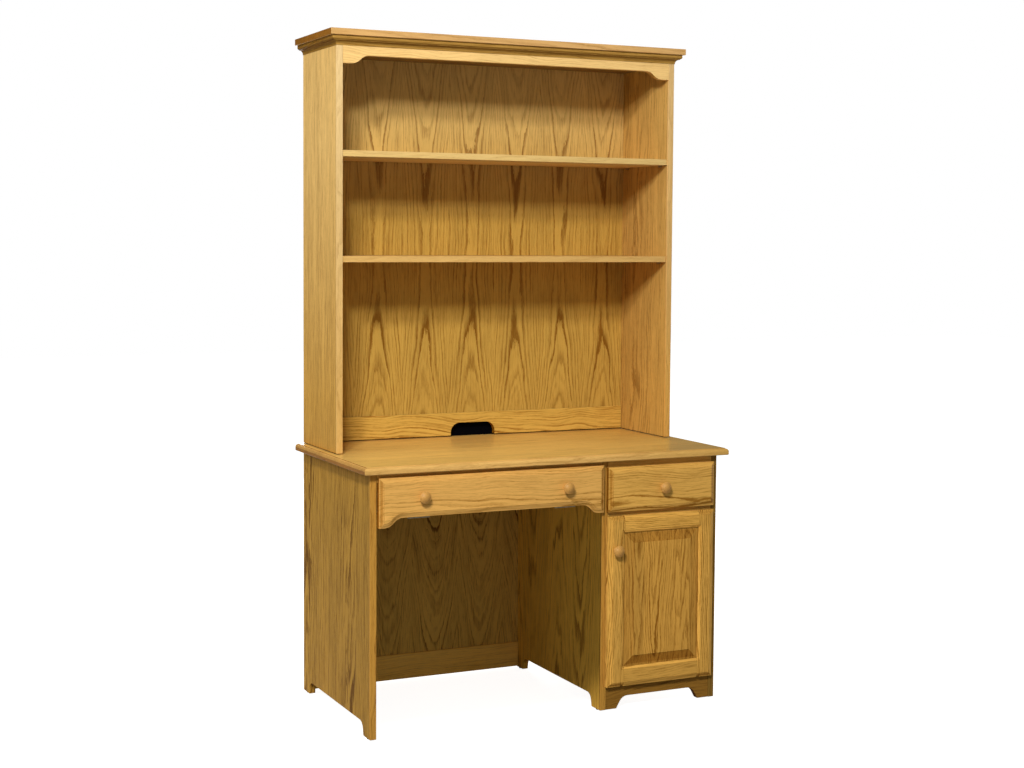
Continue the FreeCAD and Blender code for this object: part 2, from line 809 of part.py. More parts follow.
# --- pedestal drawer ---------------------------------------------------------
def make_drawer():
    x = (divider_right + slide_space, right_inside - slide_space)
    z = (drawer_front_bottom + box_bottom_lift, drawer_front_bottom + box_bottom_lift + box_height)
    y = (front_back, front_back + box_depth)
    groove_z = (z[0] + box_groove_lift, z[0] + box_groove_lift + box_bottom)
    inner_x = grown(x, -box_side)
    slot = block(grown(inner_x, groove_depth), (front_back - groove_depth, y[1] + cut_past),
                 grown(groove_z, groove_play))
    front_x = (pedestal_left, pedestal_right)
    front_z = (drawer_front_bottom, drawer_front_top)
    middle = (sum(front_x) / 2, sum(front_z) / 2)
    front = plain_front(front_x, front_z).cut(slot).cut(knob_hole(*middle))
    keep("drawer_front", front)
    keep("drawer_knob", knob(*middle))
    keep("drawer_left_side", block((x[0], inner_x[0]), y, z).cut(slot))
    keep("drawer_right_side", block((inner_x[1], x[1]), y, z).cut(slot))
    back_z = (groove_z[1] + glue_gap, z[1])
    keep("drawer_back", block(grown(inner_x, -glue_gap), (y[1] - box_side, y[1]), back_z))
    bottom_x = grown(inner_x, groove_depth - groove_rest)
    bottom_y = (front_back - groove_depth + groove_rest, y[1])
    keep("drawer_bottom", block(bottom_x, bottom_y, groove_z))
    outer, between, inner = slide_members(divider_right, right_inside, sum(z) / 2)
    keep("drawer_slide_outer_members", *outer)
    keep("drawer_slide_middle_members", *between)
    keep("drawer_slide_inner_members", *inner)


# --- cupboard door -----------------------------------------------------------
def opening_tool(x, z):
    """The sight opening of the door with the bevel that runs round it."""
    bevel = stacked([corners(upright(front_face + sticking), x, z),
                     corners(upright(front_face - cut_past), grown(x, sticking + cut_past),
                             grown(z, sticking + cut_past))])
    through = block(x, grown((front_face, front_back), cut_past), z)
    return bevel.fuse(through)


def make_door():
    x = (pedestal_left, pedestal_right)
    z = (door_bottom, door_top)
    sight_x = grown(x, -stile)
    sight_z = (z[0] + door_bottom_rail, z[1] - door_top_rail)
    middle_y = (front_face + front_back) / 2
    tongue_y = (middle_y - tongue / 2, middle_y + tongue / 2)
    groove = block(grown(sight_x, tongue_length), grown(tongue_y, groove_play),
                   grown(z, cut_past))
    level_groove = block(sight_x, grown(tongue_y, groove_play), grown(sight_z, tongue_length))
    tool = opening_tool(sight_x, sight_z)
    slab = plain_front(x, z)
    knob_x = x[0] + stile / 2 - sticking / 2
    knob_z = z[1] - door_knob_drop
    depth = grown((front_face, front_back), cut_past)
    left = slab.common(block((x[0] - cut_past, sight_x[0]), depth, grown(z, cut_past)))
    left = left.cut(tool).cut(groove).cut(knob_hole(knob_x, knob_z))
    keep("door_knob_stile", left)
    right = slab.common(block((sight_x[1], x[1] + cut_past), depth, grown(z, cut_past)))
    keep("door_hinge_stile", right.cut(tool).cut(groove))
    keep("door_knob", knob(knob_x, knob_z))
    for name, rail_z in (("door_bottom_rail", (z[0], sight_z[0])),
                         ("door_top_rail", (sight_z[1], z[1]))):
        rail_x = grown(sight_x, -glue_gap)
        rail = slab.common(block(rail_x, depth, rail_z))
        rail = rail.cut(tool).cut(level_groove)
        tenon = block(grown(sight_x, tongue_length - groove_rest), tongue_y,
                      tenon_height(rail_z, z))
        keep(name, joined([rail, tenon]))
    make_raised_panel(sight_x, sight_z, tongue_y)
    make_door_hinges()
    make_catch()


def tenon_height(rail_z, door_z):
    """The tenons keep clear of the door's moulded ends and of the panel's groove."""
    inner = tongue_length + groove_rest
    low = rail_z[0] + (edge_width if rail_z[0] == door_z[0] else inner)
    high = rail_z[1] - (edge_width if rail_z[1] == door_z[1] else inner)
    return (low, high)


def make_raised_panel(sight_x, sight_z, tongue_y):
    """A panel with a raised field and a wide bevel, loose in the door's groove."""
    def section(amount, y):
        return corners(upright(y), grown(sight_x, amount), grown(sight_z, amount))
    field_y = front_face + field_recess
    reach = tongue_length - panel_play
    keep("door_raised_panel", stacked([
        section(reach, tongue_y[1]), section(reach, tongue_y[0]), section(-bevel_start, tongue_y[0]),
        section(-field_margin, field_y + field_step), section(-field_margin, field_y)]))


def door_axis():
    """Centre of the door's pins."""
    return (pedestal_right + door_axis_out, front_back - barrel_radius + leaf)


def make_door_hinges():
    """Two half-wrap hinges: one leaf on the door's back, one round the end panel's corner."""
    axis_x, axis_y = door_axis()
    frame_leaves = []
    door_leaves = []
    for start in (door_bottom + hinge_inset, door_top - hinge_inset - hinge_height):
        ends, middle, third = knuckles(2, start, hinge_height, (axis_x, axis_y, 0.0))
        z = (start, start + hinge_height)
        bore = rod(pin_radius + pin_play, (axis_x, axis_y, z[0]), (0, 0, 1), hinge_height)
        front_y = (-leaf - leaf_play, -leaf_play)
        frame = []
        for low, high in ((z[0], third[0] - knuckle_gap), (third[1] + knuckle_gap, z[1])):
            frame.append(block((right_inside - leaf, axis_x + leaf), front_y, (low, high)))
            arm_x = (axis_x, axis_x + leaf)
            frame.append(block(arm_x, (axis_y, front_y[1]), (low, high)))
        inside = block((right_inside - leaf, right_inside), (front_y[0], door_leaf_width), z)
        frame_leaves.append(joined(ends + frame + [inside]))
        back_y = (front_back, front_back + leaf)
        plate = block((pedestal_right - door_leaf_width, pedestal_right), back_y, z)
        arm = block((pedestal_right - leaf, axis_x), back_y, third)
        door_leaves.append(joined([middle, arm.cut(bore), plate]))
    keep("door_hinge_frame_leaves", *frame_leaves)
    keep("door_hinge_door_leaves", *door_leaves)


def make_catch():
    """A magnetic catch under the rail above the door, and its strike on the door's back."""
    x = (divider_right + catch_inset, divider_right + catch_inset + catch_width)
    z = (drawer_rail_bottom - catch_height, drawer_rail_bottom)
    front = front_back + strike_thickness + catch_play
    keep("door_catch", block(x, (front, front + catch_depth), z))
    strike_x = grown((sum(x) / 2, sum(x) / 2), strike_width / 2)
    strike_z = grown((sum(z) / 2, sum(z) / 2), strike_height / 2)
    strike_y = (front_back, front_back + strike_thickness)
    keep("door_catch_strike", block(strike_x, strike_y, strike_z))


# --- hutch -------------------------------------------------------------------
def make_hutch_sides():
    groove_z = (hutch_bottom + groove_stop, hutch_top + cut_past)
    for name, x, face, into in (
            ("hutch_left_side", (-half_width, left_inside), left_inside, -1),
            ("hutch_right_side", (right_inside, half_width), right_inside, 1)):
        side = block(x, (hutch_front, case_depth), (hutch_bottom, hutch_top))
        side = side.cut(back_groove(face, into, groove_z))
        keep(name, side.cut(hutch_pin_holes()))
    pads = []
    for x in (-half_width + board / 2, half_width - board / 2):
        for y in (hutch_front + glide_inset, case_depth - glide_inset):
            pads.append(rod(pad_radius, (x, y, desk_height), (0, 0, 1), pad_height))
    keep("hutch_pads", *pads)


def make_hutch_front_rail():
    """The rail under the crown, higher in the middle than at its ends."""
    left = left_inside + glue_gap
    right = right_inside - glue_gap
    low = hutch_top - hutch_rail_height
    high = low + hutch_rail_rise
    outline = Outline(upright(hutch_front), (left, low))
    outline.line((left + hutch_rail_flat, low))
    outline.ogee((left + hutch_rail_flat + hutch_rail_curve, high))
    outline.line((right - hutch_rail_flat - hutch_rail_curve, high))
    outline.ogee((right - hutch_rail_flat, low))
    outline.line((right, low))
    outline.line((right, hutch_top))
    outline.line((left, hutch_top))
    keep("hutch_front_rail", outline.solid((0, board, 0)))


def make_hutch_back():
    inside = (left_inside + glue_gap, right_inside - glue_gap)
    rail_z = (desk_height + hutch_back_rail_lift, hutch_bottom + hutch_back_rail_height)
    rail = block(inside, (rail_front, case_depth), rail_z)
    rail = rail.cut(block(grown(inside, cut_past), grown(rail_y, groove_play),
                          (rail_z[1] - groove_depth, rail_z[1] + cut_past)))
    rail = rail.cut(cord_cut(rail_z[0])).cut(Part.makeCompound(plate_screws(screw_hole)))
    keep("hutch_back_rail", rail)
    wings = block(grown((left_inside, right_inside), groove_depth - groove_rest), rail_y,
                  (rail_z[1] + glue_gap, hutch_top - glue_gap))
    tongue_z = (rail_z[1] - groove_depth + groove_rest, rail_z[1] + glue_gap)
    keep("hutch_back_panel", joined([wings, block(inside, rail_y, tongue_z)]))


def cord_cut(bottom):
    """The slot with rounded upper corners for cords, open at its lower edge."""
    left = -cord_cut_width / 2
    right = cord_cut_width / 2
    top = hutch_bottom + cord_cut_height
    outline = Outline(upright(rail_front - cut_past), (left, bottom - cut_past))
    outline.bend((left, top), (0.0, top), cord_cut_curve)
    outline.bend((right, top), (right, bottom), cord_cut_curve)
    outline.line((right, bottom - cut_past))
    return outline.solid((0, board + 2 * cut_past, 0))


def make_shelves():
    x = grown((left_inside, right_inside), -shelf_play)
    y = (hutch_front + shelf_front_inset, shelf_back)
    for name, height in (("hutch_lower_shelf", lower_shelf_height),
                         ("hutch_upper_shelf", upper_shelf_height)):
        top = desk_height + height
        keep(name, block(x, y, (top - shelf_thickness, top)))


def make_cap():
    x = (-half_width - cap_overhang, half_width + cap_overhang)
    y = (hutch_front - cap_overhang, case_depth)
    keep("hutch_cap", block(x, y, (hutch_top, hutch_top + cap_thickness)))


def crown_outline(place):
    """Section of the crown: a cove below, a step, and a bead under the cap."""
    low = hutch_top - crown_height
    cove_end = crown_fillet + crown_cove
    outline = Outline(place, (0.0, low))
    outline.line((crown_fillet, low))
    outline.line((crown_fillet, low + crown_fillet))
    outline.arc((crown_fillet + crown_cove * 0.35, low + crown_fillet + crown_cove * 0.78),
                (cove_end, low + cove_end))
    bead_low = low + cove_end + crown_fillet
    bead_high = hutch_top - crown_band
    outline.line((cove_end, bead_low))
    outline.arc((cove_end + (crown_reach - cove_end) * 0.88,
                 bead_low + (bead_high - bead_low) * 0.33), (crown_reach, bead_high))
    outline.line((crown_reach, hutch_top))
    outline.line((0.0, hutch_top))
    return outline


def mitre_region(plan):
    low = hutch_top - crown_height - cut_past
    outline = Outline(lambda u, v: vector(u, v, low), plan[0])
    for corner in plan[1:]:
        outline.line(corner)
    return outline.solid((0, 0, crown_height + cut_past))


def make_crown():
    reach = crown_reach + cut_past
    out = half_width + reach
    forward = hutch_front - reach
    front = crown_outline(lambda p, z: vector(-out, hutch_front - p, z)).solid((2 * out, 0, 0))
    plan = [(-half_width, hutch_front), (half_width, hutch_front), (out, forward),
            (-out, forward)]
    keep("hutch_crown_front", front.common(mitre_region(plan)))
    run = case_depth - forward
    left = crown_outline(lambda p, z: vector(-half_width - p, forward, z)).solid((0, run, 0))
    plan = [(-half_width, hutch_front), (-out, forward), (-out, case_depth),
            (-half_width, case_depth)]
    left = left.common(mitre_region(plan))
    keep("hutch_crown_left", left)
    keep("hutch_crown_right", mirrored(left, 0.0))


def make_fastenings():
    """Screws into the top, and the two plates that hold the hutch to the desk."""
    heights = [z for x, y, z in plate_screw_places()]
    z = (min(heights) - plate_end, max(heights) + plate_end)
    y = (case_depth, case_depth + plate_thickness)
    holes = Part.makeCompound(plate_screws(screw_hole))
    plates = [block(grown((x, x), plate_width / 2), y, z).cut(holes) for x in plate_centres()]
    keep("hutch_mending_plates", *plates)
    keep("assembly_screws", *plate_screws(wood_screw), *rail_screws(wood_screw))


def export():
    os.makedirs("parts", exist_ok=True)
    for name, shape in PARTS.items():
        shape.translate(vector(0, -origin_y, 0))
        shape.exportStep(f"parts/{name}.step")


make_panels()
make_top()
make_rails()
make_pedestal()
make_shelf_pins()
make_tray()
make_drawer()
make_door()
make_hutch_sides()
make_hutch_front_rail()
make_hutch_back()
make_shelves()
make_cap()
make_crown()
make_fastenings()
export()
broken = [name for name, shape in PARTS.items() if not shape.isValid()]
print(len(PARTS), "nodes, not valid:", broken or "none")
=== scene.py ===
"""A student desk with a hutch, dressed in oak, steel, brass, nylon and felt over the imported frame.

Every length is in metres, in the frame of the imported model: x runs to the sitter's right, y away
from the sitter and z up.
"""

import json
import logging
import math
from collections.abc import Callable, Sequence
from dataclasses import dataclass, field, replace
from enum import Enum

import bmesh
import bpy
from mathutils import Matrix, Vector

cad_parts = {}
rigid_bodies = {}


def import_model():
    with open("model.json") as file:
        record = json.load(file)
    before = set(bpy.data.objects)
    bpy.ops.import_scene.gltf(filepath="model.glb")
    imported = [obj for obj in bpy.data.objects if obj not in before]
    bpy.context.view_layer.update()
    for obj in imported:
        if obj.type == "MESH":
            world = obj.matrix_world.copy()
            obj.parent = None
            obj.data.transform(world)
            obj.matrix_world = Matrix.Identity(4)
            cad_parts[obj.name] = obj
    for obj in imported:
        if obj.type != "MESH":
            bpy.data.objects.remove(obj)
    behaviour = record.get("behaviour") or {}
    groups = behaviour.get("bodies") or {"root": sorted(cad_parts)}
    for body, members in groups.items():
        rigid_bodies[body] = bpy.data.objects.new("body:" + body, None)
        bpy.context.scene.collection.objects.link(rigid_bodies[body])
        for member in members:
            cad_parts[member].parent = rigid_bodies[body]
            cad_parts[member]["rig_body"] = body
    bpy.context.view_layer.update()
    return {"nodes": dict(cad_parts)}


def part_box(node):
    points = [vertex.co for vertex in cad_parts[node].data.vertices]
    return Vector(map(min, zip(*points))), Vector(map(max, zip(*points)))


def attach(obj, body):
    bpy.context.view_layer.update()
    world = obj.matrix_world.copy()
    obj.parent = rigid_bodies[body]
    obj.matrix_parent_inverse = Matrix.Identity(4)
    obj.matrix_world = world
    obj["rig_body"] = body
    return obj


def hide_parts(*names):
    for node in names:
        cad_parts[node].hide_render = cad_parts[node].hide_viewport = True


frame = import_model()

log = logging.getLogger("desk")

Colour = tuple[float, float, float, float]
Point = tuple[float, float, float]
Socket = bpy.types.NodeSocket
Material = bpy.types.Material
Piece = bpy.types.Object
Shape = bmesh.types.BMesh
Face = bmesh.types.BMFace
Tint = Callable[[Face], float]

MM = 0.001
FINE_EASE = 0.3 * MM
# Name of the face attribute that holds end-grain stain and painted shade, and below nought a painted
# highlight.
STAIN_AND_PAINTED_LIGHT = "stain"
FACING = "facing"


def colour(code: str) -> Colour:
    """Turns a colour as it is seen into the linear one that shaders mix.

    Args:
        code: Six hexadecimal digits for red, green and blue.

    Returns:
        Linear red, green, blue and full opacity.
    """
    seen = [int(code[i:i + 2], 16) / 255 for i in (0, 2, 4)]
    red, green, blue = [(c / 12.92) if c < 0.04045 else ((c + 0.055) / 1.055) ** 2.4 for c in seen]
    return red, green, blue, 1.0


# The colour that stain and painted shade multiply into the wood.
STAIN_AND_SHADE_COLOUR = colour("B2985E")


class Axis(Enum):
    """A direction of the frame, and its place in a point."""

    X = 0
    Y = 1
    Z = 2


class Facing(Enum):
    """The way a fastener's head looks."""

    DOWN = (0.0, 0.0, -1.0)
    BACK = (0.0, 1.0, 0.0)
    LEFT = (-1.0, 0.0, 0.0)
    RIGHT = (1.0, 0.0, 0.0)


@dataclass(frozen=True)
class Signal:
    """One value on its way through a shader tree, with the usual arithmetic."""

    bench: "Bench"
    socket: Socket

    def __add__(self, other: "Term") -> "Signal":
        """Adds another value."""
        return self.bench.math("ADD", self, other)

    def __sub__(self, other: "Term") -> "Signal":
        """Takes another value away."""
        return self.bench.math("SUBTRACT", self, other)

    def __mul__(self, other: "Term") -> "Signal":
        """Multiplies by another value."""
        return self.bench.math("MULTIPLY", self, other)

    def __truediv__(self, other: "Term") -> "Signal":
        """Divides by another value."""
        return self.bench.math("DIVIDE", self, other)

    def floor(self) -> "Signal":
        """The whole number below."""
        return self.bench.math("FLOOR", self)

    def root(self) -> "Signal":
        """The square root."""
        return self.bench.math("SQRT", self)

    def above(self, other: "Term") -> "Signal":
        """One where the value is above the other, and nought elsewhere."""
        return self.bench.math("GREATER_THAN", self, other)


Term = Signal | float


class Bench:
    """A node tree under construction: every method adds a node and hands on what it gives."""

    # The sockets of a mix of two colours.
    first_colour, second_colour, mixed_colour = 6, 7, 2

    def __init__(self, tree: bpy.types.NodeTree) -> None:
        """Starts on a tree."""
        self.tree = tree

    def add(self, kind: str, **settings: object) -> bpy.types.Node:
        """Adds one node.

        Args:
            kind: Blender's name for the node.
            **settings: Properties of the node.

        Returns:
            The new node.
        """
        node = self.tree.nodes.new(kind)
        for name, value in settings.items():
            setattr(node, name, value)
        return node

    def feed(self, socket: Socket, term: object) -> None:
        """Links a signal or a socket to an input, or sets the input to a plain value.

        Args:
            socket: The input.
            term: A signal, a socket or a plain value.
        """
        if isinstance(term, Signal):
            term = term.socket
        if isinstance(term, Socket):
            self.tree.links.new(term, socket)
        else:
            socket.default_value = term

    def math(self, operation: str, *terms: Term) -> Signal:
        """One step of arithmetic on one, two or three terms.

        Args:
            operation: Blender's name for the step.
            *terms: What it works on, in order.

        Returns:
            The result.
        """
        node = self.add("ShaderNodeMath", operation=operation)
        for socket, term in zip(node.inputs, terms):
            self.feed(socket, term)
        return Signal(self, node.outputs[0])

    def point(self, x: Term, y: Term, z: Term) -> Socket:
        """Puts three values together as a vector.

        Args:
            x: The first value.
            y: The second value.
            z: The third value.

        Returns:
            The vector.
        """
        node = self.add("ShaderNodeCombineXYZ")
        for socket, term in zip(node.inputs, (x, y, z)):
            self.feed(socket, term)
        return node.outputs[0]

    def parts(self, vector: Socket) -> list[Signal]:
        """Takes a vector apart.

        Args:
            vector: The vector.

        Returns:
            Its x, y and z.
        """
        node = self.add("ShaderNodeSeparateXYZ")
        self.feed(node.inputs[0], vector)
        return [Signal(self, socket) for socket in node.outputs]

    def place(self) -> list[Signal]:
        """The place on the object itself, along x, y and z."""
        return self.parts(self.add("ShaderNodeTexCoord").outputs["Object"])

    def noise(self, at: Socket, detail: float = 2.0, rough: float = 0.5) -> Signal:
        """Smooth noise about a half.

        Args:
            at: The place, in units of the noise's own grain.
            detail: Number of finer layers.
            rough: Strength of each finer layer.

        Returns:
            The noise, from 0 to 1.
        """
        node = self.add("ShaderNodeTexNoise")
        self.feed(node.inputs["Vector"], at)
        self.feed(node.inputs["Scale"], 1.0)
        self.feed(node.inputs["Detail"], detail)
        self.feed(node.inputs["Roughness"], rough)
        return Signal(self, node.outputs["Fac"])

    def dice(self, number: Signal) -> list[Signal]:
        """Three chance values from 0 to 1 that depend on one number alone.

        Args:
            number: What the chance values depend on.

        Returns:
            The three values.
        """
        node = self.add("ShaderNodeTexWhiteNoise", noise_dimensions="1D")
        self.feed(node.inputs["W"], number)
        return self.parts(node.outputs["Color"])

    def ramp(self, value: Signal, low: float, high: float, start: float = 0.0,
             end: float = 1.0) -> Signal:
        """A soft step.

        Args:
            value: What is followed.
            low: Where the step begins.
            high: Where it ends.
            start: The result before the step.
            end: The result after it.

        Returns:
            The result in between.
        """
        node = self.add("ShaderNodeMapRange", interpolation_type="SMOOTHSTEP")
        for socket, term in zip(node.inputs, (value, low, high, start, end)):
            self.feed(socket, term)
        return Signal(self, node.outputs[0])

    def blend(self, share: Signal, first: object, second: object, manner: str = "MIX") -> Socket:
        """Mixes two colours.

        Args:
            share: How much of the second one is taken.
            first: A colour or a socket.
            second: A colour or a socket.
            manner: Blender's name for the way of mixing.

        Returns:
            The mixed colour.
        """
        node = self.add("ShaderNodeMix", data_type="RGBA", blend_type=manner)
        self.feed(node.inputs["Factor"], share)
        self.feed(node.inputs[self.first_colour], first)
        self.feed(node.inputs[self.second_colour], second)
        return node.outputs[self.mixed_colour]

    def bump(self, height: Signal, strength: float, distance: float) -> Socket:
        """Turns a height into a tilted normal.

        Args:
            height: The height, as a share of the distance.
            strength: How much of the tilt is taken.
            distance: How high a height of one stands, in metres.

        Returns:
            The normal.
        """
        node = self.add("ShaderNodeBump")
        self.feed(node.inputs["Height"], height)
        self.feed(node.inputs["Strength"], strength)
        self.feed(node.inputs["Distance"], distance)
        return node.outputs[0]


def started(name: str) -> tuple[Material, Bench, bpy.types.Node]:
    """Starts a material.

    Args:
        name: The material's name.

    Returns:
        The material, a bench on its tree and its shader.
    """
    made = bpy.data.materials.new(name)
    made.use_nodes = True
    return made, Bench(made.node_tree), made.node_tree.nodes["Principled BSDF"]


def linked(name: str, data: bpy.types.ID) -> Piece:
    """Puts a mesh, a lamp or a camera into the scene.

    Args:
        name: The object's name.
        data: What the object shows.

    Returns:
        The object, at the origin.
    """
    made = bpy.data.objects.new(name, data)
    bpy.context.scene.collection.objects.link(made)
    return made


@dataclass(frozen=True)
class Fibre:
    """Noise drawn out along the grain: its size across and along, and its finer layers."""

    across: float
    along: float
    detail: float = 1.0

    def layered(self, bench: Bench, side: Signal, layer: Term, along: Signal) -> Signal:
        """The noise about nought in one layer of the wood.

        Args:
            bench: The bench on the tree.
            side: The place across the grain.
            layer: A number that tells the layer from others.
            along: The place along the grain.

        Returns:
            The noise, from -0.5 to 0.5.
        """
        at = bench.point(side / self.across, layer, along / self.along)
        return bench.noise(at, self.detail) - 0.5

    def solid(self, bench: Bench, side: Signal, deep: Signal, along: Signal) -> Signal:
        """The noise about nought, as fine in depth as it is across."""
        return self.layered(bench, side, deep / self.across, along)


class GrainFigure:
    """The figure of sawn timber: rings round a heart below the face, staves, pores and streaks."""

    name = "timber_figure"
    numbers = ("stave", "heart", "off_heart", "slope", "bow", "bow_at", "ring", "wander",
               "uneven", "variety", "alternate", "contrast", "pores", "fade", "painted_light_from", "seed")
    colours = ("light", "dark", "faded")
    depth_share = 0.35
    stave_step, year_step = 1.37, 3.17
    start_spread, pair_shift, heart_spread = 1.7, 0.05, 0.7
    sway_step, sway_length = 5.1, 0.22
    broad, broad_step, broad_size = Fibre(0.030, 0.20), 3.0, 0.010
    fine, fine_step, fine_size = Fibre(0.005, 0.045, 2.0), 7.0, 0.0034
    ragged, ragged_size = Fibre(0.0016, 0.012), 0.0016
    luck_span, luck_low, usual_strength = 0.9, 0.4, 0.6
    heart_band, quiet_share = (0.012, 0.050), 0.55
    early_end, late_start, late_share = 0.52, 0.86, 0.6
    pore, pore_step, pore_in_early, pore_elsewhere = Fibre(0.0013, 0.016), (0.05, 0.22), 0.7, 0.3
    streak, hair = Fibre(0.0035, 0.11, 3.0), Fibre(0.0016, 0.045, 2.0)
    line_step, line_layer, line_length = 2.3, 3.0, 0.30
    cloud = Fibre(0.07, 0.35, 2.0)
    early_shade, streak_shade, hair_shade, pore_shade, least_shade = 0.82, 0.85, 0.95, 0.6, 0.05
    # Most painted light, and the share of it that the dark rings take.
    palest, dark_pales = 0.6, 0.35
    cloud_tone, stave_tone = 0.34, 0.16
    pore_height, early_height = -0.7, 0.3

    def __init__(self) -> None:
        """Builds the shared node group."""
        self.tree = bpy.data.node_groups.new(self.name, "ShaderNodeTree")
        face = self.tree.interface
        face.new_socket("Place", in_out="INPUT", socket_type="NodeSocketVector")
        for key in self.numbers:
            face.new_socket(key, in_out="INPUT", socket_type="NodeSocketFloat")
        for key in self.colours:
            face.new_socket(key, in_out="INPUT", socket_type="NodeSocketColor")
        face.new_socket("Colour", in_out="OUTPUT", socket_type="NodeSocketColor")
        face.new_socket("Height", in_out="OUTPUT", socket_type="NodeSocketFloat")
        self.wire()

    def wire(self) -> None:
        """Wires place and sizes to colour and height."""
        bench = Bench(self.tree)
        given = bench.add("NodeGroupInput").outputs
        size = {key: Signal(bench, given[key]) for key in self.numbers}
        across, deep, along = bench.parts(given["Place"])
        # Painted light: past a point along the grain the wood blends towards a paler or a darker
        # colour.
        painted_light = bench.math("MAXIMUM", (along - size["painted_light_from"]) * size["fade"], 0.0)

        stave = (across / size["stave"] + 0.5).floor()
        from_middle = across - stave * size["stave"]
        chance = bench.dice(stave * self.stave_step + size["seed"])
        odd = bench.math("ABSOLUTE", bench.math("MODULO", stave, 2.0))
        turned = bench.math("ADD", odd * size["alternate"],
                            chance[2].above(0.5) * size["variety"])
        turned = bench.math("MINIMUM", turned, 1.0)
        sign = bench.math("SUBTRACT", 1.0, turned * 2.0)
        along = along + chance[1] * size["variety"] * self.start_spread
        along = along + odd * size["alternate"] * self.pair_shift
        spread = (chance[0] - 0.5) * size["variety"] * size["stave"] * self.heart_spread

        sway_at = bench.point(stave * self.sway_step, along / self.sway_length, size["seed"])
        sway = bench.noise(sway_at, 1.0) - 0.5
        side = from_middle * sign + size["off_heart"] + spread + sway * size["wander"]
        depth = deep * self.depth_share + size["heart"]
        radius = (side * side + depth * depth).root()
        bend = along - size["bow_at"]
        lean = bench.math("SUBTRACT", 1.0, (turned * size["variety"]) * 2.0)
        climb = along * size["slope"] * lean + bend * bend * size["bow"]
        broad = self.broad.layered(bench, side, stave * self.broad_step, along)
        fine = self.fine.layered(bench, side, stave * self.fine_step, along)
        ragged = self.ragged.solid(bench, side, deep, along)
        age = radius + climb + broad * self.broad_size + fine * self.fine_size
        age = (age + ragged * self.ragged_size) / size["ring"]
        year = age.floor()
        season = age - year
        luck = bench.dice(year * self.year_step + size["seed"])[0]
        strength = (luck * luck * self.luck_span - self.luck_low) * size["uneven"]
        strength = (strength + self.usual_strength) * bench.ramp(
            bench.math("ABSOLUTE", side), *self.heart_band, 1.0, self.quiet_share)
        early = bench.ramp(season, 0.0, self.early_end, 1.0, 0.0) * strength
        late = bench.ramp(season, self.late_start, 1.0) * self.late_share * strength
        early = bench.math("MAXIMUM", early, late)

        pore = bench.ramp(self.pore.solid(bench, side, deep, along), *self.pore_step)
        pore = pore * (early * self.pore_in_early + self.pore_elsewhere) * size["pores"]
        streak = self.streak.solid(bench, side, deep, along)
        hair = self.hair.solid(bench, side, deep, along)
        line_at = bench.point(age * self.line_step, stave * self.line_layer,
                              along / self.line_length)
        line = bench.noise(line_at, 1.0) - 0.5
        cloud = self.cloud.solid(bench, across, deep, along)

        shade = early * self.early_shade + streak * self.streak_shade + hair * self.hair_shade
        shade = (shade + line) * size["contrast"] + pore * self.pore_shade + self.least_shade
        shade = bench.math("MAXIMUM", bench.math("MINIMUM", shade, 1.0), 0.0)
        painted_light = bench.math("MINIMUM", painted_light, self.palest)
        light = bench.blend(painted_light, given["light"], given["faded"])
        dark = bench.blend(painted_light * self.dark_pales, given["dark"], given["faded"])
        wood = bench.blend(shade, light, dark)
        # The face attribute: stain and painted shade darken the wood; below nought it is a painted
        # highlight that lightens it.
        stain = Signal(bench, bench.add("ShaderNodeAttribute", attribute_name=STAIN_AND_PAINTED_LIGHT).outputs["Fac"])
        stain_and_painted_light = bench.math("MAXIMUM", stain, 0.0)
        painted_highlight = bench.math("MINIMUM", stain, 0.0)
        wood = bench.blend(stain_and_painted_light, wood, STAIN_AND_SHADE_COLOUR, "MULTIPLY")
        tone = cloud * self.cloud_tone + (chance[1] - 0.5) * size["variety"] * self.stave_tone
        scaled = bench.add("ShaderNodeVectorMath", operation="SCALE")
        bench.feed(scaled.inputs[0], wood)
        bench.feed(scaled.inputs["Scale"], tone - painted_highlight + 1.0)

        given_out = bench.add("NodeGroupOutput").inputs
        bench.feed(given_out["Colour"], scaled.outputs[0])
        bench.feed(given_out["Height"], pore * self.pore_height - early * self.early_height)


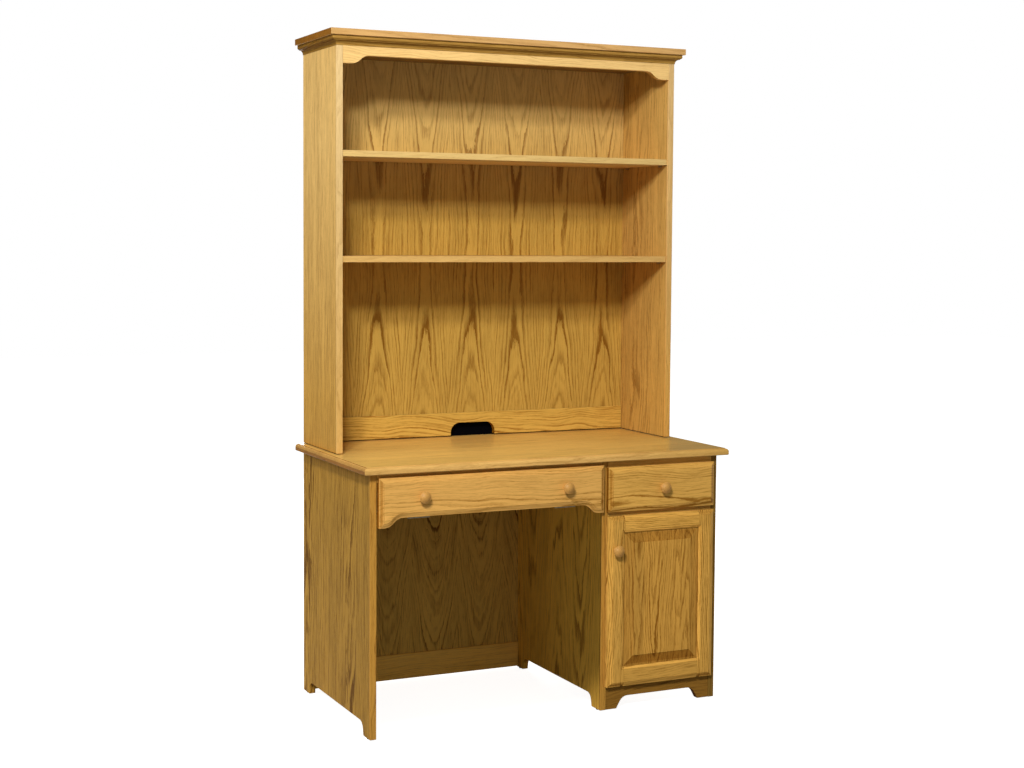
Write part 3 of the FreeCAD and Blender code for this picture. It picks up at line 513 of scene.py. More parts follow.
@dataclass(frozen=True)
class Timber:
    """One way of cutting and staining a board.

    The heart of the log runs along the grain below the face, so rings cross the face as flames.
    """

    grain: Axis = Axis.X
    width: Axis = Axis.Z
    centre: Point = (0.0, 0.0, 0.0)
    stave: float = 0.11
    heart: float = 0.060
    off_heart: float = 0.0
    slope: float = 0.05
    bow: float = 0.0
    bow_at: float = 0.0
    ring: float = 0.0070
    wander: float = 0.030
    uneven: float = 1.0
    variety: float = 1.0
    alternate: float = 0.0
    contrast: float = 1.0
    pores: float = 1.0
    # Painted light and shade along the grain: its slope and where it starts.
    fade: float = 0.0
    painted_light_from: float = 0.0
    ends: float = 1.0
    seed: float = 0.0
    light: str = "DCAC56"
    dark: str = "9A6722"
    # The colour that the painted light and shade blend towards.
    faded: str = "F4D7A0"
    roughness: float = 0.50
    polish: float = -0.10
    bump: float = 0.35
    relief: float = 0.25 * MM
    gloss: float = 0.03
    coat: float = 0.0
    coat_roughness: float = 0.20

    def material(self, name: str, figure: GrainFigure) -> Material:
        """Makes the board's material.

        Args:
            name: The material's name.
            figure: The shared figure.

        Returns:
            The material, which reads the place on the object itself.
        """
        made, bench, principled = started(name)
        where = bench.add("ShaderNodeTexCoord").outputs["Object"]
        mapping = bench.add("ShaderNodeMapping", vector_type="POINT")
        bench.feed(mapping.inputs["Vector"], where)
        mapping.inputs["Location"].default_value = [-c for c in self.centre]
        parts = bench.parts(mapping.outputs[0])
        deep = ({axis.value for axis in Axis} - {self.grain.value, self.width.value}).pop()
        place = bench.point(parts[self.width.value], parts[deep], parts[self.grain.value])
        group = bench.add("ShaderNodeGroup", node_tree=figure.tree)
        bench.feed(group.inputs["Place"], place)
        for key in figure.numbers:
            bench.feed(group.inputs[key], getattr(self, key))
        for key in figure.colours:
            bench.feed(group.inputs[key], colour(getattr(self, key)))
        shader = principled.inputs
        bench.feed(shader["Base Color"], group.outputs["Colour"])
        height = Signal(bench, group.outputs["Height"])
        bench.feed(shader["Roughness"], height * self.polish + self.roughness)
        bench.feed(shader["Normal"], bench.bump(height, self.bump, self.relief))
        shader["Coat Weight"].default_value = self.coat
        shader["Coat Roughness"].default_value = self.coat_roughness
        shader["Specular IOR Level"].default_value = self.gloss
        return made


@dataclass(frozen=True)
class Lipping:
    """A solid strip glued to the front edge of a veneered panel."""

    width: float = 6.0 * MM
    joint: float = 0.5 * MM
    timber: Timber = Timber(Axis.Z, Axis.Y, stave=0.9, off_heart=0.21, heart=0.12, slope=0.008,
                            ring=0.0042, seed=7.0, variety=0.0)
    glue: Timber = Timber(Axis.Z, Axis.Y, light="6F4A1C", dark="5A3A14")


@dataclass(frozen=True)
class Metal:
    """A rolled or plated metal with a faint brushed grain and a few scuffs."""

    base: str
    worn: str
    roughness: float
    brush: Point = (4000.0, 4000.0, 120.0)
    brush_spread: float = 0.14
    scuff: float = 90.0
    scuff_detail: float = 3.0
    scuff_step: tuple[float, float] = (0.35, 0.75)
    scuff_spread: float = 0.12
    bump: float = 0.15
    relief: float = 0.05 * MM

    def material(self, name: str) -> Material:
        """Makes the metal's material.

        Args:
            name: The material's name.

        Returns:
            The material.
        """
        made, bench, principled = started(name)
        place, shader = bench.place(), principled.inputs
        line = bench.noise(bench.point(*(p * s for p, s in zip(place, self.brush))))
        scuff = bench.noise(bench.point(*(p * self.scuff for p in place)), self.scuff_detail)
        tint = bench.blend(bench.ramp(scuff, *self.scuff_step), colour(self.base),
                           colour(self.worn))
        middle = (self.brush_spread + self.scuff_spread) / 2
        bench.feed(shader["Base Color"], tint)
        bench.feed(shader["Roughness"], line * self.brush_spread + scuff * self.scuff_spread
                   + (self.roughness - middle))
        bench.feed(shader["Normal"], bench.bump(line, self.bump, self.relief))
        shader["Metallic"].default_value = 1.0
        return made


@dataclass(frozen=True)
class Soft:
    """Felt or nylon: a mottled body with a fine bump."""

    light: str
    dark: str
    roughness: float
    grit: float
    relief: float
    detail: float = 4.0
    coarse: float = 0.7
    mottle_step: tuple[float, float] = (0.3, 0.7)
    spread: float = 0.1
    bump: float = 0.5

    def material(self, name: str) -> Material:
        """Makes the soft thing's material.

        Args:
            name: The material's name.

        Returns:
            The material.
        """
        made, bench, principled = started(name)
        shader = principled.inputs
        at = bench.point(*(p * self.grit for p in bench.place()))
        grain = bench.noise(at, self.detail, self.coarse)
        tint = bench.blend(bench.ramp(grain, *self.mottle_step), colour(self.light),
                           colour(self.dark))
        bench.feed(shader["Base Color"], tint)
        bench.feed(shader["Roughness"], grain * self.spread + self.roughness)
        bench.feed(shader["Normal"], bench.bump(grain, self.bump, self.relief))
        return made


ZINC = Metal("C0B69C", "A0967E", 0.42)
BRASS = Metal("C9A35C", "A9813F", 0.32)
NYLON = Soft("34322C", "262420", 0.45, 900.0, 0.05 * MM)
FELT = Soft("5B4632", "3C2D20", 0.90, 1600.0, 0.30 * MM)


def flattened(piece: Piece) -> bpy.types.Mesh:
    """The plain mesh that a piece's modifiers leave.

    Args:
        piece: The piece, with its modifiers.

    Returns:
        A new mesh, which belongs to no piece yet.
    """
    bpy.context.view_layer.update()
    graph = bpy.context.evaluated_depsgraph_get()
    return bpy.data.meshes.new_from_object(piece.evaluated_get(graph))


def stacked(low: Vector, high: Vector, sections: Sequence[tuple[float, float]]) -> Shape:
    """A closed solid of upright rectangles, one before the other.

    Args:
        low: Lower left corner of the drawing.
        high: Upper right corner of the drawing.
        sections: How far each rectangle is grown past the drawing, and its y.

    Returns:
        The solid, with its faces outwards.
    """
    shape = bmesh.new()
    rings = []
    for grown, y in sections:
        left, right = low.x - grown, high.x + grown
        bottom, top = low.z - grown, high.z + grown
        corners = ((left, bottom), (right, bottom), (right, top), (left, top))
        rings.append([shape.verts.new((x, y, z)) for x, z in corners])
    for near, far in zip(rings, rings[1:]):
        for i in range(4):
            j = (i + 1) % 4
            shape.faces.new((near[i], near[j], far[j], far[i]))
    shape.faces.new(rings[0])
    shape.faces.new(reversed(rings[-1]))
    bmesh.ops.recalc_face_normals(shape, faces=shape.faces)
    return shape


@dataclass
class Workshop:
    """Makes pieces from the frame's solids, dresses them and keeps count of them."""

    figure: GrainFigure
    ease: float = 0.9 * MM
    sharp: float = math.radians(30)
    crease: float = math.radians(12)
    flat: float = math.radians(0.4)
    weld: float = 0.002 * MM
    segments: int = 2
    face_weight: int = 100
    end_slope: tuple[float, float] = (0.10, 0.75)
    # Share of the end-grain stain on faces that look up: painted light on upper faces.
    painted_light_upward_share: float = 0.5
    made: list[Piece] = field(default_factory=list)

    def register(self, piece: Piece, body: str, slot: str) -> Piece:
        """Lets a piece ride on its body and logs it with its finish.

        Args:
            piece: A finished piece.
            body: The body it moves with.
            slot: The record's material slot.

        Returns:
            The same piece.
        """
        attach(piece, body)
        self.made.append(piece)
        log.info("%s rides on %s, finished as %s", piece.name, body, slot)
        return piece

    def stand_in(self, piece: Piece, node: str, slot: str) -> Piece:
        """Lets a piece stand for a node, on the node's own body."""
        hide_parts(node)
        return self.register(piece, frame["nodes"][node]["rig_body"], slot)

    def shape(self, node: str) -> Shape:
        """A merged copy of a node's triangles, with its flat faces whole.

        Args:
            node: The node in the frame.

        Returns:
            The copy.
        """
        shape = bmesh.new()
        shape.from_mesh(frame["nodes"][node].data)
        bmesh.ops.remove_doubles(shape, verts=shape.verts, dist=self.weld)
        bmesh.ops.dissolve_limit(shape, angle_limit=self.flat, verts=shape.verts,
                                 edges=shape.edges)
        return shape

    def to_object(self, shape: Shape, name: str, materials: Sequence[Material]) -> Piece:
        """Turns a shape into an object at the origin.

        Args:
            shape: The shape, which is used up.
            name: The object's name.
            materials: Its material slots in order.

        Returns:
            The object, shaded smooth but for its sharp edges.
        """
        mesh = bpy.data.meshes.new(name)
        shape.to_mesh(mesh)
        shape.free()
        for material in materials:
            mesh.materials.append(material)
        mesh.shade_smooth()
        mesh.set_sharp_from_angle(angle=self.crease)
        return linked(name, mesh)

    def soften(self, piece: Piece, ease: float) -> None:
        """Eases every sharp edge of a piece by a small round.

        Args:
            piece: The piece.
            ease: How wide the round is.
        """
        bevel = piece.modifiers.new("eased_edges", "BEVEL")
        bevel.width = ease
        bevel.segments = self.segments
        bevel.limit_method = "ANGLE"
        bevel.angle_limit = self.sharp
        bevel.use_clamp_overlap = False
        bevel.loop_slide = False
        shading = piece.modifiers.new("even_faces", "WEIGHTED_NORMAL")
        shading.weight = self.face_weight
        shading.keep_sharp = True

    def cut(self, shape: Shape, tool: Shape) -> Shape:
        """Takes a tool's space out of a shape, and uses the shape up.

        Args:
            shape: The shape, which is used up.
            tool: The cutter, which is kept.

        Returns:
            What is left of the shape.
        """
        work = self.to_object(shape, "work", [])
        cutter = self.to_object(tool.copy(), "cutter", [])
        step = work.modifiers.new("cut", "BOOLEAN")
        step.operation = "DIFFERENCE"
        step.solver = "EXACT"
        step.object = cutter
        left = bmesh.new()
        left.from_mesh(flattened(work))
        for done in (work, cutter):
            bpy.data.objects.remove(done)
        return left

    def board(self, node: str, timber: Timber, slot: str = "oak", lipping: Lipping | None = None,
              ease: float | None = None, shape: Shape | None = None,
              tint: Tint | None = None) -> Piece:
        """Replaces a wooden node by a board with eased edges.

        Args:
            node: The node in the frame.
            timber: How it is cut and stained.
            slot: The record's material slot.
            lipping: The strip glued on at the front, or none.
            ease: How far the edges are eased, or none for the usual amount.
            shape: The board's shape, or none for the node's own.
            tint: How much painted shade a face holds besides its end grain; below nought it is a
                painted highlight.

        Returns:
            The board.
        """
        piece = self.wooden(node, shape or self.shape(node), timber, slot, lipping, ease, tint)
        return self.stand_in(piece, node, slot)

    def wooden(self, node: str, shape: Shape, timber: Timber, slot: str = "oak",
               lipping: Lipping | None = None, ease: float | None = None,
               tint: Tint | None = None) -> Piece:
        """Dresses a shape as a board.

        Args:
            node: What the board's name starts with.
            shape: The board's shape, which is used up.
            timber: How it is cut and stained.
            slot: The record's material slot.
            lipping: The strip glued on at the front, or none.
            ease: How far the edges are eased, or none for the usual amount.
            tint: How much painted shade a face holds besides its end grain.

        Returns:
            The board, which rides on nothing yet.
        """
        materials = [timber.material(node + "_" + slot, self.figure)]
        if lipping:
            front = min(vertex.co.y for vertex in shape.verts)
            self.part_lipping(shape, front + lipping.width, lipping.joint)
            materials.append(lipping.timber.material(node + "_lipping", self.figure))
            materials.append(lipping.glue.material(node + "_glue_line", self.figure))
        stain = shape.faces.layers.float.new(STAIN_AND_PAINTED_LIGHT)
        shape.normal_update()
        for face in shape.faces:
            stain_and_painted_light = self.end_stain(face, timber) + (tint(face) if tint else 0.0)
            face[stain] = min(max(stain_and_painted_light, -1.0), 1.0)
        piece = self.to_object(shape, node + "_board", materials)
        self.soften(piece, self.ease if ease is None else ease)
        return piece

    def end_stain(self, face: Face, timber: Timber) -> float:
        """The stain that a face takes up because it cuts across the grain; faces that look up take
        less, painted light on them.

        Args:
            face: A face of the board.
            timber: How the board is cut.

        Returns:
            The stain, from 0 to 1.
        """
        start, full = self.end_slope
        slope = abs(face.normal[timber.grain.value])
        share = self.painted_light_upward_share if face.normal.z > start else 1.0
        return min(max((slope - start) / (full - start), 0.0), 1.0) * share * timber.ends

    def part_lipping(self, shape: Shape, joint: float, thickness: float) -> None:
        """Divides a panel into a front strip, a glue line and the rest.

        Args:
            shape: The panel, whose faces get material numbers 1, 2 and 0.
            joint: Where the strip ends, along y.
            thickness: How thick the glue line shows.
        """
        for y in (joint, joint + thickness):
            bmesh.ops.bisect_plane(shape, geom=[*shape.verts, *shape.edges, *shape.faces],
                                   plane_co=(0, y, 0), plane_no=(0, 1, 0))
        for face in shape.faces:
            y = face.calc_center_median().y
            if y < joint:
                face.material_index = 1
            elif y < joint + thickness:
                face.material_index = 2

    def fitting(self, node: str, material: Material, slot: str, ease: float = 0.2 * MM) -> Piece:
        """Replaces a fitting's node by one with smooth rounds and eased edges.

        Args:
            node: The node in the frame.
            material: Its finish.
            slot: The record's material slot.
            ease: How far the edges are eased.

        Returns:
            The fitting.
        """
        piece = self.to_object(self.shape(node), node + "_fitting", [material])
        self.soften(piece, ease)
        return self.stand_in(piece, node, slot)

    def islands(self, node: str) -> list[tuple[Vector, Vector]]:
        """The lowest and highest corner of each separate solid of a node.

        Args:
            node: The node in the frame.

        Returns:
            The two corners of one solid after another, in the order of the node's vertices.
        """
        shape = self.shape(node)
        seen, corners = set(), []
        for first in shape.verts:
            if first in seen:
                continue
            found = edge = {first}
            while edge:
                edge = {e.other_vert(v) for v in edge for e in v.link_edges} - found
                found = found | edge
            seen |= found
            low = Vector([min(v.co[i] for v in found) for i in range(3)])
            high = Vector([max(v.co[i] for v in found) for i in range(3)])
            corners.append((low, high))
        shape.free()
        return corners


@dataclass(frozen=True)
class Softbox:
    """One square lamp behind cloth: its name, its place, its power in watts and its width."""

    name: str
    place: Point
    power: float
    width: float


@dataclass
class Studio:
    """The camera, the lamps, the pale floor and the white room."""

    eye: Point = (-2.158, -4.448, 1.382)
    yaw: float = math.radians(24.66)
    pitch: float = math.radians(-3.49)
    roll: float = math.radians(0.31)
    lens: float = 57.84
    shift: tuple[float, float] = (0.0333, -0.0414)
    aim: Point = (0.0, 0.0, 1.0)
    softboxes: tuple[Softbox, ...] = (
        Softbox("key_softbox", (-2.76, -3.6, 3.85), 122.0, 0.42),
        Softbox("lower_softbox", (-2.14, -3.6, 3.27), 88.0, 0.42),
        Softbox("side_fill", (-4.0, -0.5, 3.4), 40.0, 1.2),
        Softbox("right_softbox", (4.2, 0.9, 0.95), 60.0, 1.4),
        Softbox("back_softbox", (0.9, 4.6, 0.95), 60.0, 1.4),
    )
    ambient: float = 0.25
    ambient_tint: Colour = (0.92, 1.03, 1.05, 1.0)
    mirrored: float = 0.08
    floor_width: float = 30.0
    floor_glow: float = 0.91
    floor_mottle: float = 3.0
    floor_roughness: float = 0.9
    near_floor: tuple[str, str] = ("9C9C9C", "A4A4A4")
    # Under and behind the desk the floor is paler: it throws more light into the knee space, and
    # seen it is painted light that lifts the desk's shadow.
    painted_light_floor: str = "F2F2F2"
    flag_cloth: str = "101010"
    shade_card: str = "08080C"
    brighter_from: tuple[float, float] = (-0.30, -0.15)
    flag_gap: float = 1.0 * MM
    scrim_height: float = 0.17
    shade_gap: float = 6.5 * MM
    shade_drop: float = 6.0 * MM
    shade_rise: float = 4.0 * MM
    shade_reach: float = 14.0 * MM
    slot_search: float = 0.2

    def build(self) -> None:
        """Puts up the whole studio."""
        bpy.context.scene.view_settings.view_transform = "Standard"
        self.camera()
        for softbox in self.softboxes:
            self.lamp(softbox)
        self.floor()
        self.room()
        self.flag()
        self.shades()

    def camera(self) -> None:
        """Sets up the camera and makes it the scene's own."""
        ahead = Vector((math.sin(self.yaw) * math.cos(self.pitch),
                        math.cos(self.yaw) * math.cos(self.pitch), math.sin(self.pitch)))
        right = Vector((math.cos(self.yaw), -math.sin(self.yaw), 0.0))
        up = right.cross(ahead)
        turned_right = right * math.cos(self.roll) + up * math.sin(self.roll)
        turned_up = up * math.cos(self.roll) - right * math.sin(self.roll)
        data = bpy.data.cameras.new("camera")
        data.lens = self.lens
        data.shift_x, data.shift_y = self.shift
        made = linked("camera", data)
        turn = Matrix((turned_right, turned_up, -ahead)).transposed().to_4x4()
        made.matrix_world = Matrix.Translation(self.eye) @ turn
        bpy.context.scene.camera = made

    def lamp(self, softbox: Softbox) -> None:
        """Hangs one softbox that looks at the desk.

        Args:
            softbox: Its name, where it hangs, and how strong and wide it is.
        """
        data = bpy.data.lights.new(softbox.name, "AREA")
        data.size = softbox.width
        data.energy = softbox.power
        made = linked(softbox.name, data)
        made.location = softbox.place
        way = Vector(self.aim) - Vector(softbox.place)
        made.rotation_euler = way.to_track_quat("-Z", "Y").to_euler()

    def floor(self) -> None:
        """Lays a pale floor that stays white round the object but keeps its shadow; paler under and
        behind the desk, painted light there.
        """
        half = self.floor_width / 2
        made = self.card("floor", [(-half, -half, 0), (half, -half, 0), (half, half, 0),
                                   (-half, half, 0)])
        material, bench, shader = started("pale_floor")
        x, y, z = bench.place()
        mottle = bench.noise(bench.point(x * self.floor_mottle, y * self.floor_mottle, z))
        near = bench.blend(mottle, *(colour(code) for code in self.near_floor))
        pale = bench.blend(bench.ramp(y, *self.brighter_from), near, colour(self.painted_light_floor))
        bench.feed(shader.inputs["Base Color"], pale)
        shader.inputs["Roughness"].default_value = self.floor_roughness
        glow = bench.add("ShaderNodeEmission")
        seen, _ = self.rays(bench)
        bench.feed(glow.inputs["Strength"], seen * self.floor_glow)
        adding = bench.add("ShaderNodeAddShader")
        bench.feed(adding.inputs[0], shader.outputs[0])
        bench.feed(adding.inputs[1], glow.outputs[0])
        bench.feed(bench.tree.nodes["Material Output"].inputs["Surface"], adding.outputs[0])
        made.data.materials.append(material)

    def card(self, name: str, corners: Sequence[Point]) -> Piece:
        """Makes a flat stage piece.

        Args:
            name: The piece's name.
            corners: Its four corners, counter-clockwise from its front.

        Returns:
            The piece.
        """
        mesh = bpy.data.meshes.new(name)
        mesh.from_pydata(corners, [], [(0, 1, 2, 3)])
        made = linked(name, mesh)
        return made

    def screen(self, name: str, across: tuple[float, float], upright: tuple[float, float],
               y: float) -> Piece:
        """Makes an upright stage piece that faces the sitter.

        Args:
            name: The piece's name.
            across: Where it starts and ends along x.
            upright: Where it starts and ends along z.
            y: How far back it stands.

        Returns:
            The piece.
        """
        (left, right), (foot, top) = across, upright
        return self.card(name, [(left, y, foot), (right, y, foot), (right, y, top),
                                (left, y, top)])

    def thin(self, bench: Bench, share: Term | Socket) -> None:
        """Lets a share of the light straight through a material's shader.

        Args:
            bench: The bench on the material's tree.
            share: How much goes through, from 0 to 1.
        """
        nodes = bench.tree.nodes
        mixed = bench.add("ShaderNodeMixShader")
        clear = bench.add("ShaderNodeBsdfTransparent")
        terms = (share, nodes["Principled BSDF"].outputs[0], clear.outputs[0])
        for socket, term in zip(mixed.inputs, terms):
            bench.feed(socket, term)
        bench.feed(nodes["Material Output"].inputs["Surface"], mixed.outputs[0])

    def flag(self) -> None:
        """Hangs an unseen flag before the knee space, thin at its foot, against the softboxes."""
        across = (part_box("left_end_panel")[1].x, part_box("divider_panel")[0].x)
        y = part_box("divider_panel")[0].y + self.flag_gap
        made = self.screen("knee_flag", across, (0.0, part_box("tray_floor")[0].z), y)
        for kind in ("camera", "diffuse", "glossy", "transmission"):
            setattr(made, f"visible_{kind}", False)
        cloth, bench, shader = started("black_cloth")
        shader.inputs["Base Color"].default_value = colour(self.flag_cloth)
        self.thin(bench, bench.ramp(bench.place()[2], 0.0, self.scrim_height, 1.0, 0.0))
        made.data.materials.append(cloth)

    def shades(self) -> None:
        """Stands dark cards behind the cord slot and the gap below the hutch's rail: painted shade
        seen through them.
        """
        material, bench, shader = started("painted_shade_card")
        shader.inputs["Base Color"].default_value = colour(self.shade_card)
        shader.inputs["Specular IOR Level"].default_value = 0.0
        self.thin(bench, bench.add("ShaderNodeNewGeometry").outputs["Backfacing"])
        low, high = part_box("hutch_back_rail")
        slot = [vertex.co for vertex in frame["nodes"]["hutch_back_rail"].data.vertices
                if abs(vertex.co.x) < self.slot_search]
        slot_across = (min(co.x for co in slot), max(co.x for co in slot))
        slot_top = max(co.z for co in slot if co.z < high.z - MM)
        y, foot = high.y + self.shade_gap, low.z - self.shade_drop
        for name, (left, right), top in (("gap_shade", (low.x, high.x), low.z + self.shade_rise),
                                         ("slot_shade", slot_across, slot_top)):
            across = (left - self.shade_reach, right + self.shade_reach)
            self.screen(name, across, (foot, top), y).data.materials.append(material)

    def rays(self, bench: Bench) -> tuple[Signal, Signal]:
        """One for rays straight from the camera or through glass, and one for those off a gloss.

        Args:
            bench: The bench on the tree that asks.

        Returns:
            The two signals, each 0 or 1.
        """
        path = bench.add("ShaderNodeLightPath").outputs
        straight, glossy, through = [Signal(bench, path[f"Is {kind} Ray"])
                                     for kind in ("Camera", "Glossy", "Transmission")]
        return bench.math("MAXIMUM", straight, through), glossy

    def room(self) -> None:
        """Fills the room with even light, and shows it white."""
        world = bpy.data.worlds.new("white_room")
        world.use_nodes = True
        bpy.context.scene.world = world
        bench = Bench(world.node_tree)
        back = world.node_tree.nodes["Background"]
        seen, glossy = self.rays(bench)
        white = (1.0, 1.0, 1.0, 1.0)
        bench.feed(back.inputs["Color"], bench.blend(seen, self.ambient_tint, white))
        strength = seen * (1.0 - self.ambient) + glossy * (self.mirrored - self.ambient)
        bench.feed(back.inputs["Strength"], strength + self.ambient)


@dataclass
class DeskCase:
    """The end panels, the divider, the top and the rails and backs between them."""

    level: float = 0.99
    top_ease: float = 0.2 * MM
    lipping: Lipping = Lipping(timber=replace(Lipping().timber, light="C48E3C", dark="8A5A1E"))

    def build(self, shop: Workshop) -> None:
        """Builds and dresses every board of the case.

        Args:
            shop: The workshop.
        """
        self.top(shop)
        self.panels(shop)
        self.rails(shop)
        self.backs(shop)
        self.low_boards(shop)

    def top(self, shop: Workshop) -> None:
        """Dresses the top, whose moulding has less gloss and a browner stain.

        Args:
            shop: The workshop.
        """
        # Towards its right end the top blends to a darker colour: painted shade.
        top = Timber(Axis.X, Axis.Y, (-0.2, 0.0, 0.765), stave=0.118, heart=0.075, slope=0.020,
                     ring=0.0062, seed=4.0, contrast=0.85, roughness=0.40, coat=0.50,
                     light="EFC068", dark="AC7630", fade=1.1, painted_light_from=0.40, faded="A88030")
        board = shop.board("desk_top", top, ease=self.top_ease)
        moulding = replace(top, coat=0.3, light="E4B264", dark="A06C2C")
        board.data.materials.append(moulding.material("desk_top_moulding", shop.figure))
        for face in board.data.polygons:
            face.material_index = int(abs(face.normal.z) < self.level)

    def panels(self, shop: Workshop) -> None:
        """Dresses the end panels and the divider between them.

        Args:
            shop: The workshop.
        """
        # The left end panel's oak is darker than the other panels': painted shade.
        side = Timber(Axis.Z, Axis.Y, (0.0, 0.0, 0.4), stave=0.17, heart=0.070, off_heart=0.09,
                      slope=0.020, ring=0.0050, seed=11.0, contrast=1.9, light="B68838",
                      dark="6E4814")
        # The divider grows paler towards its foot: painted light.
        inner = replace(side, seed=16.0, off_heart=0.0, slope=0.04, ring=0.0065, contrast=1.4,
                        light="D09C3A", dark="7E4E12", fade=-2.4, painted_light_from=0.44, faded="FFC652")
        outer = replace(inner, seed=21.0, contrast=1.2, fade=0.0, light="BE9250", dark="825A2A")
        # The right end panel's lipping is darker than the other lippings: painted shadow of the
        # fronts that overlay it.
        shade = replace(self.lipping.timber, light="8C682C", dark="624212")
        shop.board("left_end_panel", side, lipping=self.lipping)
        shop.board("divider_panel", inner, lipping=self.lipping)
        shop.board("right_end_panel", outer, lipping=Lipping(timber=shade))

    def rails(self, shop: Workshop) -> None:
        """Dresses the rails that hold the panels apart.

        Args:
            shop: The workshop.
        """
        rail = Timber(Axis.X, Axis.Z, (0.0, 0.0, 0.7), stave=0.3, off_heart=0.16, heart=0.1,
                      slope=0.01, ring=0.0045, seed=21.0)
        nodes = ("knee_front_top_rail", "pedestal_front_top_rail", "drawer_door_rail",
                 "knee_back_top_rail")
        for step, node in enumerate(nodes):
            shop.board(node, replace(rail, seed=rail.seed + step))
        # A paler copy of the rail: painted light on the low rail at the back of the knee space.
        painted_light_rail = replace(rail, seed=25.0, light="F4BE5C", dark="BC8434")
        shop.board("knee_back_bottom_rail", painted_light_rail)

    def backs(self, shop: Workshop) -> None:
        """Dresses the two veneered backs.

        Args:
            shop: The workshop.
        """
        # The backs of the knee space and cupboard grow paler towards the floor: painted light.
        veneer = Timber(Axis.Z, Axis.X, (0.030, 0.293, 0.0), stave=0.1575, heart=0.050,
                        slope=0.0, bow=-0.052, bow_at=-0.9, seed=31.0, variety=0.0, alternate=1.0,
                        wander=0.02, contrast=1.6, light="D2A24A", dark="7A4C12", fade=-1.2,
                        painted_light_from=0.42, faded="E8B858")
        shop.board("knee_back_panel", veneer)
        shop.board("pedestal_back_panel", replace(veneer, seed=33.0))

    def low_boards(self, shop: Workshop) -> None:
        """Dresses the toe board and the cupboard's floor and shelf.

        Args:
            shop: The workshop.
        """
        toe = Timber(Axis.X, Axis.Z, (0.25, -0.26, 0.045), stave=0.2, heart=0.045, slope=0.10,
                     ring=0.0075, wander=0.07, seed=41.0, light="946828", dark="543610")
        shop.board("toe_board", toe)
        flat = Timber(Axis.X, Axis.Y, (0.36, 0.0, 0.0), seed=45.0, contrast=0.7)
        for node in ("pedestal_floor", "cupboard_shelf"):
            shop.board(node, flat)


